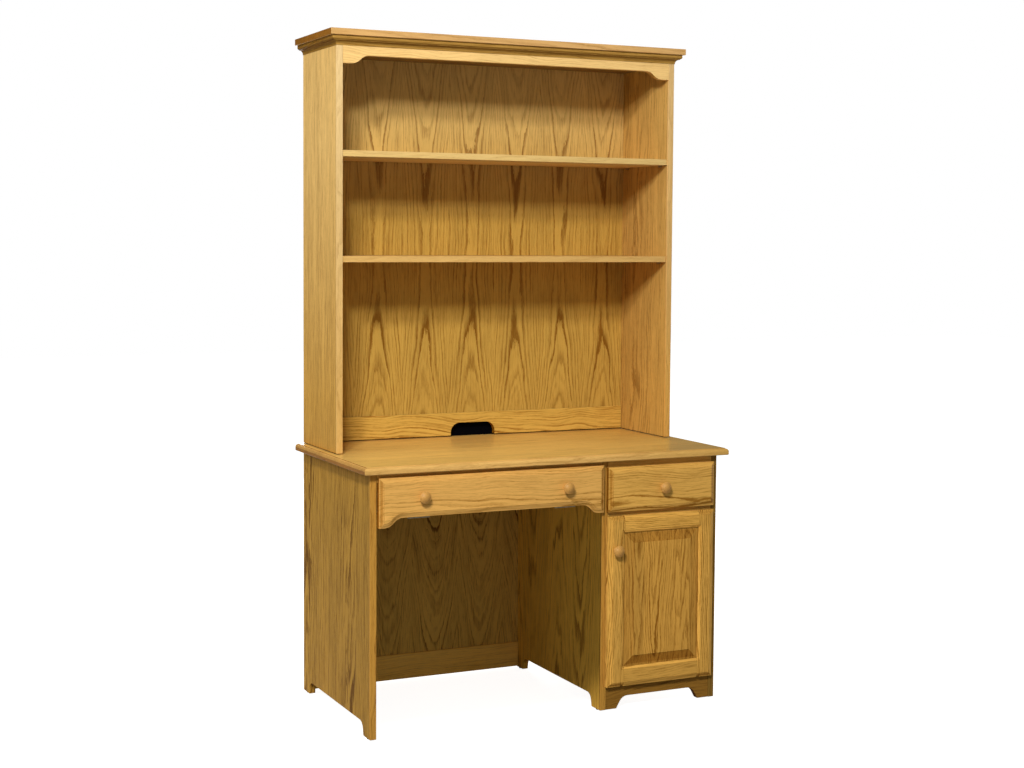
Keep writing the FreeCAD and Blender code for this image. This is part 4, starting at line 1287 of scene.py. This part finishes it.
@dataclass
class Hutch:
    """The open hutch: sides, shelves, cap, crown, scalloped rail and veneered back."""

    # Height from which the hutch's sides grow paler upwards: painted light.
    foot: float = 0.90
    ceiling_height: float = 1.932
    ceiling_thickness: float = 19.0 * MM
    ceiling_play: float = 0.1 * MM
    rail_lift: float = 2.5 * MM
    # When a crown face counts as a step, and the painted shade on its steps and on its cove where it
    # looks down.
    step_level: float = 0.95
    step_shade: float = 0.80
    cove_shade: float = 0.45

    def build(self, shop: Workshop) -> None:
        """Builds and dresses every board of the hutch.

        Args:
            shop: The workshop.
        """
        self.sides(shop)
        self.back(shop)
        self.shelves(shop)
        self.ceiling(shop)
        self.crown(shop)

    def sides(self, shop: Workshop) -> None:
        """Dresses the two sides, with paler lippings.

        Args:
            shop: The workshop.
        """
        # The sides and their lippings grow paler upwards from near the foot: painted light.
        side = Timber(Axis.Z, Axis.Y, (0.0, 0.15, 0.0), stave=0.6, heart=0.12, off_heart=0.26,
                      slope=0.008, ring=0.0042, seed=51.0, contrast=2.0, variety=0.0,
                      light="D29F4A", dark="966628", faded="FCD286", fade=0.78,
                      painted_light_from=self.foot)
        strip = replace(Lipping().timber, light="DDAF64", dark="B07E3C", fade=0.62,
                        painted_light_from=self.foot)
        lipping = Lipping(timber=strip)
        shop.board("hutch_left_side", side, lipping=lipping)
        lipping = Lipping(timber=replace(strip, light="DBA552", fade=0.45))
        right = replace(side, seed=52.0, contrast=1.2, off_heart=0.10, stave=0.16, variety=1.0,
                        fade=0.15, light="D0A252", dark="8C6026")
        shop.board("hutch_right_side", right, lipping=lipping)

    def back(self, shop: Workshop) -> None:
        """Dresses the veneered back and the two rails.

        Args:
            shop: The workshop.
        """
        # The back grows paler upwards from a little above the lower shelf: painted light.
        back = Timber(Axis.Z, Axis.X, (-0.006, 0.293, 0.0), stave=0.1575, heart=0.052,
                      slope=0.0, bow=-0.085, bow_at=1.38, ring=0.0078, wander=0.020, seed=55.0,
                      variety=0.0, alternate=1.0, contrast=1.25, light="CAA04A", dark="865A1C",
                      fade=1.30, painted_light_from=1.44, faded="F4D28C")
        shop.board("hutch_back_panel", back)
        rail = Timber(Axis.X, Axis.Z, (0.1, 0.29, 0.80), stave=0.3, heart=0.05, off_heart=0.03,
                      slope=0.03, ring=0.0065, wander=0.05, seed=57.0, contrast=1.4, light="D8AC50")
        shape = shop.shape("hutch_back_rail")
        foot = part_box("hutch_back_rail")[0].z + self.rail_lift
        for vertex in shape.verts:
            vertex.co.z = max(vertex.co.z, foot)
        shop.board("hutch_back_rail", rail, shape=shape)
        scalloped = replace(rail, centre=(0.0, 0.0, 1.9), seed=58.0, off_heart=0.10,
                            contrast=0.8, light="FFD286", dark="BE8A46")
        shop.board("hutch_front_rail", scalloped)

    def shelves(self, shop: Workshop) -> None:
        """Dresses the two shelves and the cap.

        Args:
            shop: The workshop.
        """
        shelf = Timber(Axis.X, Axis.Y, (0.0, 0.15, 1.3), stave=0.12, slope=0.02, seed=61.0,
                       contrast=0.7, light="DEB067", dark="AA7636")
        shop.board("hutch_lower_shelf", shelf)
        pale = replace(shelf, seed=64.0, light="EEC77D", dark="BC8C48")
        shop.board("hutch_upper_shelf", pale)
        # The cap grows darker towards its left end: painted shade.
        cap = replace(pale, seed=67.0, light="DFAE6C", dark="AE7C40", faded="A4783C", fade=-2.0,
                      painted_light_from=-0.46)
        shop.board("hutch_cap", cap)

    def ceiling(self, shop: Workshop) -> None:
        """Fits the board that closes the upper bay a little below the cap.

        Args:
            shop: The workshop.
        """
        front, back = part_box("hutch_front_rail")[1].y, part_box("hutch_back_panel")[0].y
        left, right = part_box("hutch_left_side")[1].x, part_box("hutch_right_side")[0].x
        low = Vector((left + self.ceiling_play, 0.0, self.ceiling_height))
        high = Vector((right - self.ceiling_play, 0.0,
                       self.ceiling_height + self.ceiling_thickness))
        shape = stacked(low, high, [(0.0, front + self.ceiling_play),
                                    (0.0, back - self.ceiling_play)])
        # The ceiling's oak is far darker than the other boards': painted shade.
        timber = Timber(Axis.X, Axis.Y, (0.0, 0.15, 1.93), stave=0.13, heart=0.03, slope=0.06,
                        seed=66.0, contrast=1.6, light="9C7C48", dark="4C3820")
        piece = shop.wooden("hutch_ceiling", shape, timber)
        shop.register(piece, frame["nodes"]["hutch_cap"]["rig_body"], "oak")

    def crown(self, shop: Workshop) -> None:
        """Dresses the mitred moulding below the cap.

        Args:
            shop: The workshop.
        """
        # The crown's oak is darker than the other boards', and darker still on its sides: painted
        # shade.
        crown = Timber(Axis.X, Axis.Z, (0.0, 0.0, 1.95), stave=0.4, off_heart=0.2, heart=0.1,
                       slope=0.01, ring=0.0045, seed=71.0, contrast=1.3, light="B88C42",
                       dark="7E5218")
        side = replace(crown, grain=Axis.Y, seed=73.0, light="A0742E", dark="6A4410")
        woods = {"front": crown, "left": side, "right": replace(side, seed=74.0)}
        for where, timber in woods.items():
            shop.board(f"hutch_crown_{where}", timber, ease=FINE_EASE, tint=self.crown_shade)

    def crown_shade(self, face: Face) -> float:
        """Painted shade on the faces of the moulding that look down: its little steps and the upper
        part of its cove.
        """
        down = -face.normal.z
        return self.step_shade if down > self.step_level else self.cove_shade * max(down, 0.0)


KNOB_WOOD = Timber(Axis.Y, Axis.X, stave=0.4, heart=0.03, off_heart=0.02, ring=0.0035, seed=81.0,
                   contrast=0.45, variety=0.0, ends=0.15, gloss=0.30, light="CE984C",
                   dark="A0682C")
BOX_WOOD = Timber(Axis.Y, Axis.Z, stave=0.3, heart=0.08, ring=0.006, slope=0.02, seed=91.0,
                  contrast=0.45, pores=0.2, light="E6CFA4", dark="CBA975")
BOX_PLY = replace(BOX_WOOD, width=Axis.X, stave=0.35, seed=95.0, light="E2C898")


def dress_box(shop: Workshop, name: str, bottom: str, back_seed: float) -> None:
    """Dresses the box behind a front: two sides, a back and a plywood bottom.

    Args:
        shop: The workshop.
        name: What the names of its nodes start with.
        bottom: The bottom's node.
        back_seed: The seed of the back's grain.
    """
    for part in ("left_side", "right_side"):
        shop.board(f"{name}_{part}", BOX_WOOD, slot="drawer_wood")
    back = replace(BOX_WOOD, grain=Axis.X, seed=back_seed)
    shop.board(f"{name}_back", back, slot="drawer_wood")
    shop.board(bottom, BOX_PLY, slot="plywood")


@dataclass
class KeyboardTray:
    """The tray behind the knee front: floor, sides, back, drop front and knobs."""

    knob_x: float = -0.4105
    knob_z: float = 0.67625

    def build(self, shop: Workshop) -> None:
        """Builds and dresses the tray.

        Args:
            shop: The workshop.
        """
        front = Timber(Axis.X, Axis.Z, (-0.05, -0.284, 0.655), stave=0.30, heart=0.045,
                       off_heart=0.030, slope=0.020, ring=0.0070, wander=0.06, seed=101.0,
                       variety=0.0, contrast=1.0, light="E4AC5A")
        shop.board("tray_front", front)
        knob = replace(KNOB_WOOD, centre=(self.knob_x, 0.0, self.knob_z))
        shop.board("tray_front_knobs", knob, ease=FINE_EASE)
        dress_box(shop, "tray", "tray_floor", 93.0)


@dataclass
class PedestalDrawer:
    """The drawer over the cupboard: front, knob, box and bottom."""

    knob: Point = (0.35985, 0.0, 0.659)

    def build(self, shop: Workshop) -> None:
        """Builds and dresses the drawer.

        Args:
            shop: The workshop.
        """
        front = Timber(Axis.X, Axis.Z, (0.36, -0.284, 0.645), stave=0.30, heart=0.05,
                       off_heart=0.035, slope=0.016, ring=0.0066, wander=0.04, seed=111.0,
                       variety=0.0, contrast=1.4, light="DFA952")
        shop.board("drawer_front", front)
        shop.board("drawer_knob", replace(KNOB_WOOD, centre=self.knob, seed=83.0), ease=FINE_EASE)
        dress_box(shop, "drawer", "drawer_bottom", 94.0)


@dataclass
class CupboardDoor:
    """The framed door with its raised panel and knob."""

    knob: Point = (0.2035, 0.0, 0.4805)
    bead: float = 8.0 * MM
    bead_step: float = 0.8 * MM
    bead_parts: int = 8
    past: float = 2.0 * MM
    tongue: tuple[float, float] = (8.0 * MM, 12.5 * MM)
    tongue_length: float = 7.8 * MM
    panel_gap: float = 0.5 * MM
    field_margin: float = 30.0 * MM
    field_depth: float = 0.8 * MM
    field_step: float = 1.4 * MM
    corner_width: float = 5.0 * MM
    # Painted shade in the corner where the panel's bevel meets the frame.
    corner_shade: float = 0.30
    # A painted highlight on the bead's crest.
    crest_highlight: float = 0.22
    play: float = 0.01 * MM
    # Painted shade in the bead's step.
    quirk_shade: float = 0.45
    quirk_share: float = 0.12
    face_level: float = 0.999
    side_level: float = 0.02
    bevel_tilt: float = 0.05
    # Painted shade on the panel's bevels, by which way each one looks.
    upper_bevel_shade: float = 0.42
    lower_bevel_shade: float = 0.60
    side_bevel_shade: float = 0.12

    def build(self, shop: Workshop) -> None:
        """Builds and dresses the door.

        Args:
            shop: The workshop.
        """
        stile = Timber(Axis.Z, Axis.X, (0.0, -0.284, 0.33), stave=0.4, off_heart=0.14, heart=0.09,
                       slope=0.012, ring=0.0050, seed=121.0, contrast=1.7, light="E0A84E")
        rail = replace(stile, grain=Axis.X, width=Axis.Z, seed=123.0)
        frame_woods = {"door_knob_stile": stile, "door_hinge_stile": replace(stile, seed=122.0),
                       "door_top_rail": rail, "door_bottom_rail": replace(rail, seed=124.0)}
        tool = self.bead_tool()
        for node, timber in frame_woods.items():
            shop.board(node, timber, shape=shop.cut(shop.shape(node), tool), tint=self.bead_shade_and_highlight)
        tool.free()
        panel = Timber(Axis.Z, Axis.X, (0.33, -0.283, 0.33), stave=0.062, heart=0.030,
                       slope=0.030, ring=0.0052, wander=0.03, uneven=0.4, seed=131.0,
                       contrast=1.35, light="D29A44", dark="885616")
        shop.board("door_raised_panel", panel, ease=FINE_EASE, shape=self.panel_shape(),
                   tint=self.panel_shade)
        shop.board("door_knob", replace(KNOB_WOOD, centre=self.knob, seed=84.0), ease=FINE_EASE)

    def sight(self) -> tuple[Vector, Vector]:
        """Lowest and highest corner of the panel's opening, on the door's face.

        Returns:
            The two corners.
        """
        knob_stile, hinge_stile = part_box("door_knob_stile"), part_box("door_hinge_stile")
        y = knob_stile[0].y
        low = Vector((knob_stile[1].x, y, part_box("door_bottom_rail")[1].z))
        high = Vector((hinge_stile[0].x, y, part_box("door_top_rail")[0].z))
        return low, high

    def bead_tool(self) -> Shape:
        """The cutter that rounds the frame's inner edges and leaves a little step at the face.

        Returns:
            The cutter.
        """
        low, high = self.sight()
        floor = low.y + self.bead + self.bead_step
        sections = [(-self.panel_gap, floor)]
        for part in range(1, self.bead_parts + 1):
            turn = math.pi / 2 * part / self.bead_parts
            sections.append((self.bead * (1 - math.cos(turn)), floor - self.bead * math.sin(turn)))
        sections.append((self.bead, low.y - self.past))
        return stacked(low, high, sections)

    def panel_shape(self) -> Shape:
        """The panel: a tongue for the groove, a wide bevel and a raised field.

        Returns:
            The panel's shape.
        """
        low, high = self.sight()
        front, back = self.tongue
        field_y = low.y + self.field_depth
        foot = field_y + self.field_step
        share = (self.corner_width - self.panel_gap) / (self.field_margin - self.panel_gap)
        corner_y = low.y + front + (foot - low.y - front) * share
        return stacked(low, high, [
            (self.tongue_length, low.y + back), (self.tongue_length, low.y + front),
            (-self.panel_gap, low.y + front), (-self.corner_width, corner_y),
            (-self.field_margin, foot), (-self.field_margin, field_y)])

    def beyond_sight(self, face: Face) -> float:
        """How far a face's middle lies outside the panel's opening.

        Args:
            face: A face of the frame or the panel.

        Returns:
            The distance, below nought inside the opening.
        """
        low, high = self.sight()
        middle = face.calc_center_median()
        return max(low.x - middle.x, middle.x - high.x, low.z - middle.z, middle.z - high.z)

    def bead_shade_and_highlight(self, face: Face) -> float:
        """Painted shade lies in the step of the bead, and its crest gets a painted highlight.

        Args:
            face: A face of the frame.

        Returns:
            The painted shade, below nought for the painted highlight.
        """
        reach = self.beyond_sight(face)
        level = abs(face.normal.y)
        if not -self.bead < reach <= self.bead + self.play or level > self.face_level:
            return 0.0
        crest = level >= self.side_level and reach > self.bead * self.quirk_share
        return -self.crest_highlight if crest else self.quirk_shade

    def panel_shade(self, face: Face) -> float:
        """Painted shade lies where the bevel meets the frame and on the bevels, most on the lower
        bevel that looks down.

        Args:
            face: A face of the panel.

        Returns:
            The painted shade.
        """
        reach = self.beyond_sight(face)
        if reach > -self.corner_width:
            return self.corner_shade
        if reach > -self.field_margin - self.play:
            if abs(face.normal.z) > self.bevel_tilt:
                return self.lower_bevel_shade if face.normal.z < 0.0 else self.upper_bevel_shade
            return self.side_bevel_shade if abs(face.normal.x) > self.bevel_tilt else 0.0
        return 0.0


class GeometryBench(Bench):
    """A geometry tree under construction, with named inputs for its sizes."""

    def __init__(self, name: str, sizes: Sequence[str]) -> None:
        """Starts a tree that takes points, sizes and a material.

        Args:
            name: The tree's name.
            sizes: Names of the lengths that it takes.
        """
        super().__init__(bpy.data.node_groups.new(name, "GeometryNodeTree"))
        face = self.tree.interface
        face.new_socket("Points", in_out="INPUT", socket_type="NodeSocketGeometry")
        for size in sizes:
            face.new_socket(size, in_out="INPUT", socket_type="NodeSocketFloat")
        face.new_socket("Material", in_out="INPUT", socket_type="NodeSocketMaterial")
        face.new_socket("Geometry", in_out="OUTPUT", socket_type="NodeSocketGeometry")
        self.given = self.add("NodeGroupInput").outputs

    def size(self, name: str) -> Signal:
        """One of the tree's own sizes."""
        return Signal(self, self.given[name])

    def rod(self, radius: Term, length: Term, sides: int) -> Socket:
        """An upright rod about the origin.

        Args:
            radius: Its radius.
            length: Its length.
            sides: How many flat sides make its round.

        Returns:
            The rod.
        """
        node = self.add("GeometryNodeMeshCylinder")
        self.feed(node.inputs["Vertices"], sides)
        self.feed(node.inputs["Radius"], radius)
        self.feed(node.inputs["Depth"], length)
        return node.outputs["Mesh"]

    def taper(self, foot: Term, head: Term, length: Term, sides: int) -> Socket:
        """A cone without its tip, which stands on the origin.

        Args:
            foot: Its radius at the foot.
            head: Its radius at the head.
            length: Its length.
            sides: How many flat sides make its round.

        Returns:
            The cone.
        """
        node = self.add("GeometryNodeMeshCone")
        self.feed(node.inputs["Vertices"], sides)
        self.feed(node.inputs["Radius Top"], head)
        self.feed(node.inputs["Radius Bottom"], foot)
        self.feed(node.inputs["Depth"], length)
        return node.outputs["Mesh"]

    def brick(self, x: Term, y: Term, z: Term) -> Socket:
        """A brick about the origin.

        Args:
            x: Its size along x.
            y: Its size along y.
            z: Its size along z.

        Returns:
            The brick.
        """
        node = self.add("GeometryNodeMeshCube")
        self.feed(node.inputs["Size"], self.point(x, y, z))
        return node.outputs["Mesh"]

    def moved(self, shape: Socket, z: Term) -> Socket:
        """A shape moved up by a length.

        Args:
            shape: The shape.
            z: How far up it goes.

        Returns:
            The moved shape.
        """
        node = self.add("GeometryNodeTransform")
        self.feed(node.inputs["Geometry"], shape)
        self.feed(node.inputs["Translation"], self.point(0.0, 0.0, z))
        return node.outputs[0]

    def joined(self, *shapes: Socket) -> Socket:
        """Several shapes as one.

        Args:
            *shapes: The shapes, in order.

        Returns:
            All of them together.
        """
        node = self.add("GeometryNodeJoinGeometry")
        for shape in shapes:
            self.feed(node.inputs[0], shape)
        return node.outputs[0]

    def less(self, shape: Socket, *tools: Socket) -> Socket:
        """A shape without the space of the tools.

        Args:
            shape: The shape.
            *tools: What is taken out of it.

        Returns:
            What is left.
        """
        node = self.add("GeometryNodeMeshBoolean", operation="DIFFERENCE", solver="EXACT")
        node.inputs["Self Intersection"].default_value = True
        self.feed(node.inputs[0], shape)
        for tool in tools:
            self.feed(node.inputs[1], tool)
        return node.outputs[0]

    def set_out(self, shape: Socket) -> None:
        """Puts the shape on every point, turned to its facing, and finishes the tree.

        Args:
            shape: One fastener at the origin.
        """
        facing = self.add("GeometryNodeInputNamedAttribute", data_type="FLOAT_VECTOR")
        self.feed(facing.inputs["Name"], FACING)
        turn = self.add("FunctionNodeAlignRotationToVector", axis="Z")
        self.feed(turn.inputs["Vector"], facing.outputs["Attribute"])
        spread = self.add("GeometryNodeInstanceOnPoints")
        self.feed(spread.inputs["Points"], self.given["Points"])
        self.feed(spread.inputs["Instance"], shape)
        self.feed(spread.inputs["Rotation"], turn.outputs[0])
        real = self.add("GeometryNodeRealizeInstances")
        self.feed(real.inputs[0], spread.outputs[0])
        dressed = self.add("GeometryNodeSetMaterial")
        self.feed(dressed.inputs["Geometry"], real.outputs[0])
        self.feed(dressed.inputs["Material"], self.given["Material"])
        self.feed(self.add("NodeGroupOutput").inputs[0], dressed.outputs[0])


class Fastener:
    """A fastener that is repeated: a geometry tree, and the making of pieces with it."""

    name = "fastener"
    sizes: tuple[str, ...] = ()
    sides = 20
    crease = math.radians(30)

    def __init__(self) -> None:
        """Builds the tree."""
        self.bench = GeometryBench(self.name, self.sizes)
        self.bench.set_out(self.model())

    def model(self) -> Socket:
        """Models one fastener at the origin, with its head towards +z."""
        raise NotImplementedError

    def shank(self) -> Socket:
        """Models a round shank below the origin.

        Returns:
            The shank.
        """
        length = self.bench.size("Shank length")
        rod = self.bench.rod(self.bench.size("Shank radius"), length, self.sides)
        return self.bench.moved(rod, length * -0.5)

    def place(self, name: str, points: Sequence[tuple[Vector, Facing]], lengths: dict[str, float],
              material: Material) -> Piece:
        """Makes one piece of all the fasteners at a list of points.

        Args:
            name: The piece's name.
            points: Where each fastener sits, and the way it faces.
            lengths: The tree's sizes by name.
            material: The finish.

        Returns:
            The piece, a plain mesh.
        """
        mesh = bpy.data.meshes.new(name)
        mesh.from_pydata([tuple(at) for at, _ in points], [], [])
        marks = mesh.attributes.new(FACING, "FLOAT_VECTOR", "POINT")
        for mark, (_, facing) in zip(marks.data, points):
            mark.vector = facing.value
        piece = linked(name, mesh)
        step = piece.modifiers.new(name, "NODES")
        step.node_group = self.bench.tree
        for socket in self.bench.tree.interface.items_tree:
            if socket.in_out == "INPUT" and socket.name in lengths:
                step[socket.identifier] = lengths[socket.name]
            if socket.in_out == "INPUT" and socket.name == "Material":
                step[socket.identifier] = material
        made = flattened(piece)
        piece.modifiers.clear()
        piece.data = made
        made.shade_smooth()
        made.set_sharp_from_angle(angle=self.crease)
        return piece


class Screw(Fastener):
    """A pan-head screw with a cross recess."""

    name = "pan_head_screw"
    sizes = ("Head radius", "Head height", "Shank radius", "Shank length")
    shoulder_share = 0.94
    shoulder_height = 0.45
    crown_share = 0.66
    recess_width = 0.24
    recess_reach = 1.15
    recess_depth = 0.55

    def model(self) -> Socket:
        """Models the head, its recess and the shank below it.

        Returns:
            One screw, with its head towards +z.
        """
        bench = self.bench
        radius, height = bench.size("Head radius"), bench.size("Head height")
        shoulder, rise = radius * self.shoulder_share, height * self.shoulder_height
        lower = bench.taper(radius, shoulder, rise, self.sides)
        upper = bench.taper(shoulder, radius * self.crown_share,
                            height * (1.0 - self.shoulder_height), self.sides)
        head = bench.joined(lower, bench.moved(upper, rise))
        wide, narrow = radius * self.recess_reach, radius * self.recess_width
        deep = height * (self.recess_depth * 2)
        slots = [bench.moved(bench.brick(x, y, deep), height)
                 for x, y in ((wide, narrow), (narrow, wide))]
        return bench.joined(bench.less(head, *slots), self.shank())


class ShelfPin(Fastener):
    """A shelf pin: a round shank in the panel, a thin collar and a flat tongue."""

    name = "shelf_pin"
    sizes = ("Shank radius", "Shank length", "Collar radius", "Collar thickness", "Tongue reach",
             "Tongue width", "Tongue thickness")
    collar_taper = 0.9

    def model(self) -> Socket:
        """Models the pin with its collar's back on the origin.

        Returns:
            One pin, with its tongue towards +z.
        """
        bench = self.bench
        thickness, reach = bench.size("Collar thickness"), bench.size("Tongue reach")
        rim = bench.size("Collar radius")
        collar = bench.taper(rim, rim * self.collar_taper, thickness, self.sides)
        tongue = bench.moved(bench.brick(bench.size("Tongue thickness"),
                                         bench.size("Tongue width"), reach), reach * 0.5)
        return bench.joined(self.shank(), collar, tongue)


@dataclass
class Fittings:
    """Slides, hinges, catch, plates, pins, glides, screws and felt pads."""

    head_height: float = 2.6 * MM
    head_radius: float = 4.0 * MM
    shank_radius: float = 2.0 * MM
    pin_shank: float = 10.0 * MM
    pin_radius: float = 2.5 * MM
    collar: float = 0.8 * MM
    cupboard_middle: float = 0.355

    def build(self, shop: Workshop) -> None:
        """Dresses the hardware.

        Args:
            shop: The workshop.
        """
        zinc = ZINC.material("zinc_plate")
        brass = BRASS.material("brass_plate")
        for which in ("tray", "drawer"):
            for member in ("outer", "middle", "inner"):
                shop.fitting(f"{which}_slide_{member}_members", zinc, "steel")
        for node in ("tray_hinge_lower_leaves", "tray_hinge_upper_leaves", "hutch_mending_plates",
                     "door_catch", "door_catch_strike"):
            shop.fitting(node, zinc, "steel")
        for node in ("door_hinge_frame_leaves", "door_hinge_door_leaves"):
            shop.fitting(node, brass, "brass")
        shop.fitting("foot_glides", NYLON.material("nylon_glide"), "nylon")
        shop.fitting("hutch_pads", FELT.material("felt_pad"), "felt")
        self.screws(shop, zinc)
        self.pins(shop, zinc)

    def screws(self, shop: Workshop, zinc: Material) -> None:
        """Drives the screws that hold the top and the mending plates.

        Args:
            shop: The workshop.
            zinc: Their finish.
        """
        node = "assembly_screws"
        points, spans = [], []
        for low, high in shop.islands(node):
            size, middle = high - low, (low + high) / 2
            if size.z > size.y:
                head = Vector((middle.x, middle.y, low.z + self.head_height))
                points.append((head, Facing.DOWN))
            else:
                head = Vector((middle.x, high.y - self.head_height, middle.z))
                points.append((head, Facing.BACK))
            spans.append(max(size))
        lengths = {"Head radius": self.head_radius, "Head height": self.head_height,
                   "Shank radius": self.shank_radius,
                   "Shank length": min(spans) - self.head_height}
        shop.stand_in(Screw().place(node + "_fitting", points, lengths, zinc), node, "steel")

    def pins(self, shop: Workshop, zinc: Material) -> None:
        """Sets the pins that carry the shelves.

        Args:
            shop: The workshop.
            zinc: Their finish.
        """
        node = "shelf_pins"
        solids = shop.islands(node)
        desk_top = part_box("desk_top")[0].z
        points = []
        for low, high in solids:
            middle = (low + high) / 2
            compartment = 0.0 if low.z > desk_top else self.cupboard_middle
            on_left = middle.x < compartment
            x = low.x + self.pin_shank if on_left else high.x - self.pin_shank
            points.append((Vector((x, middle.y, middle.z)),
                           Facing.RIGHT if on_left else Facing.LEFT))
        size = solids[0][1] - solids[0][0]
        lengths = {"Shank radius": self.pin_radius, "Shank length": self.pin_shank,
                   "Collar radius": size.z / 2, "Collar thickness": self.collar,
                   "Tongue reach": size.x - self.pin_shank, "Tongue width": size.y,
                   "Tongue thickness": size.z}
        shop.stand_in(ShelfPin().place(node + "_fitting", points, lengths, zinc), node, "steel")


def main() -> None:
    """Builds the studio and every sub-assembly in order."""
    logging.basicConfig(level=logging.INFO, format="%(message)s")
    Studio().build()
    shop = Workshop(GrainFigure())
    for assembly in (DeskCase(), Hutch(), KeyboardTray(), PedestalDrawer(), CupboardDoor(),
                     Fittings()):
        assembly.build(shop)
    log.info("%d pieces are dressed", len(shop.made))
    bpy.context.view_layer.update()


if __name__ == "__main__":
    main()
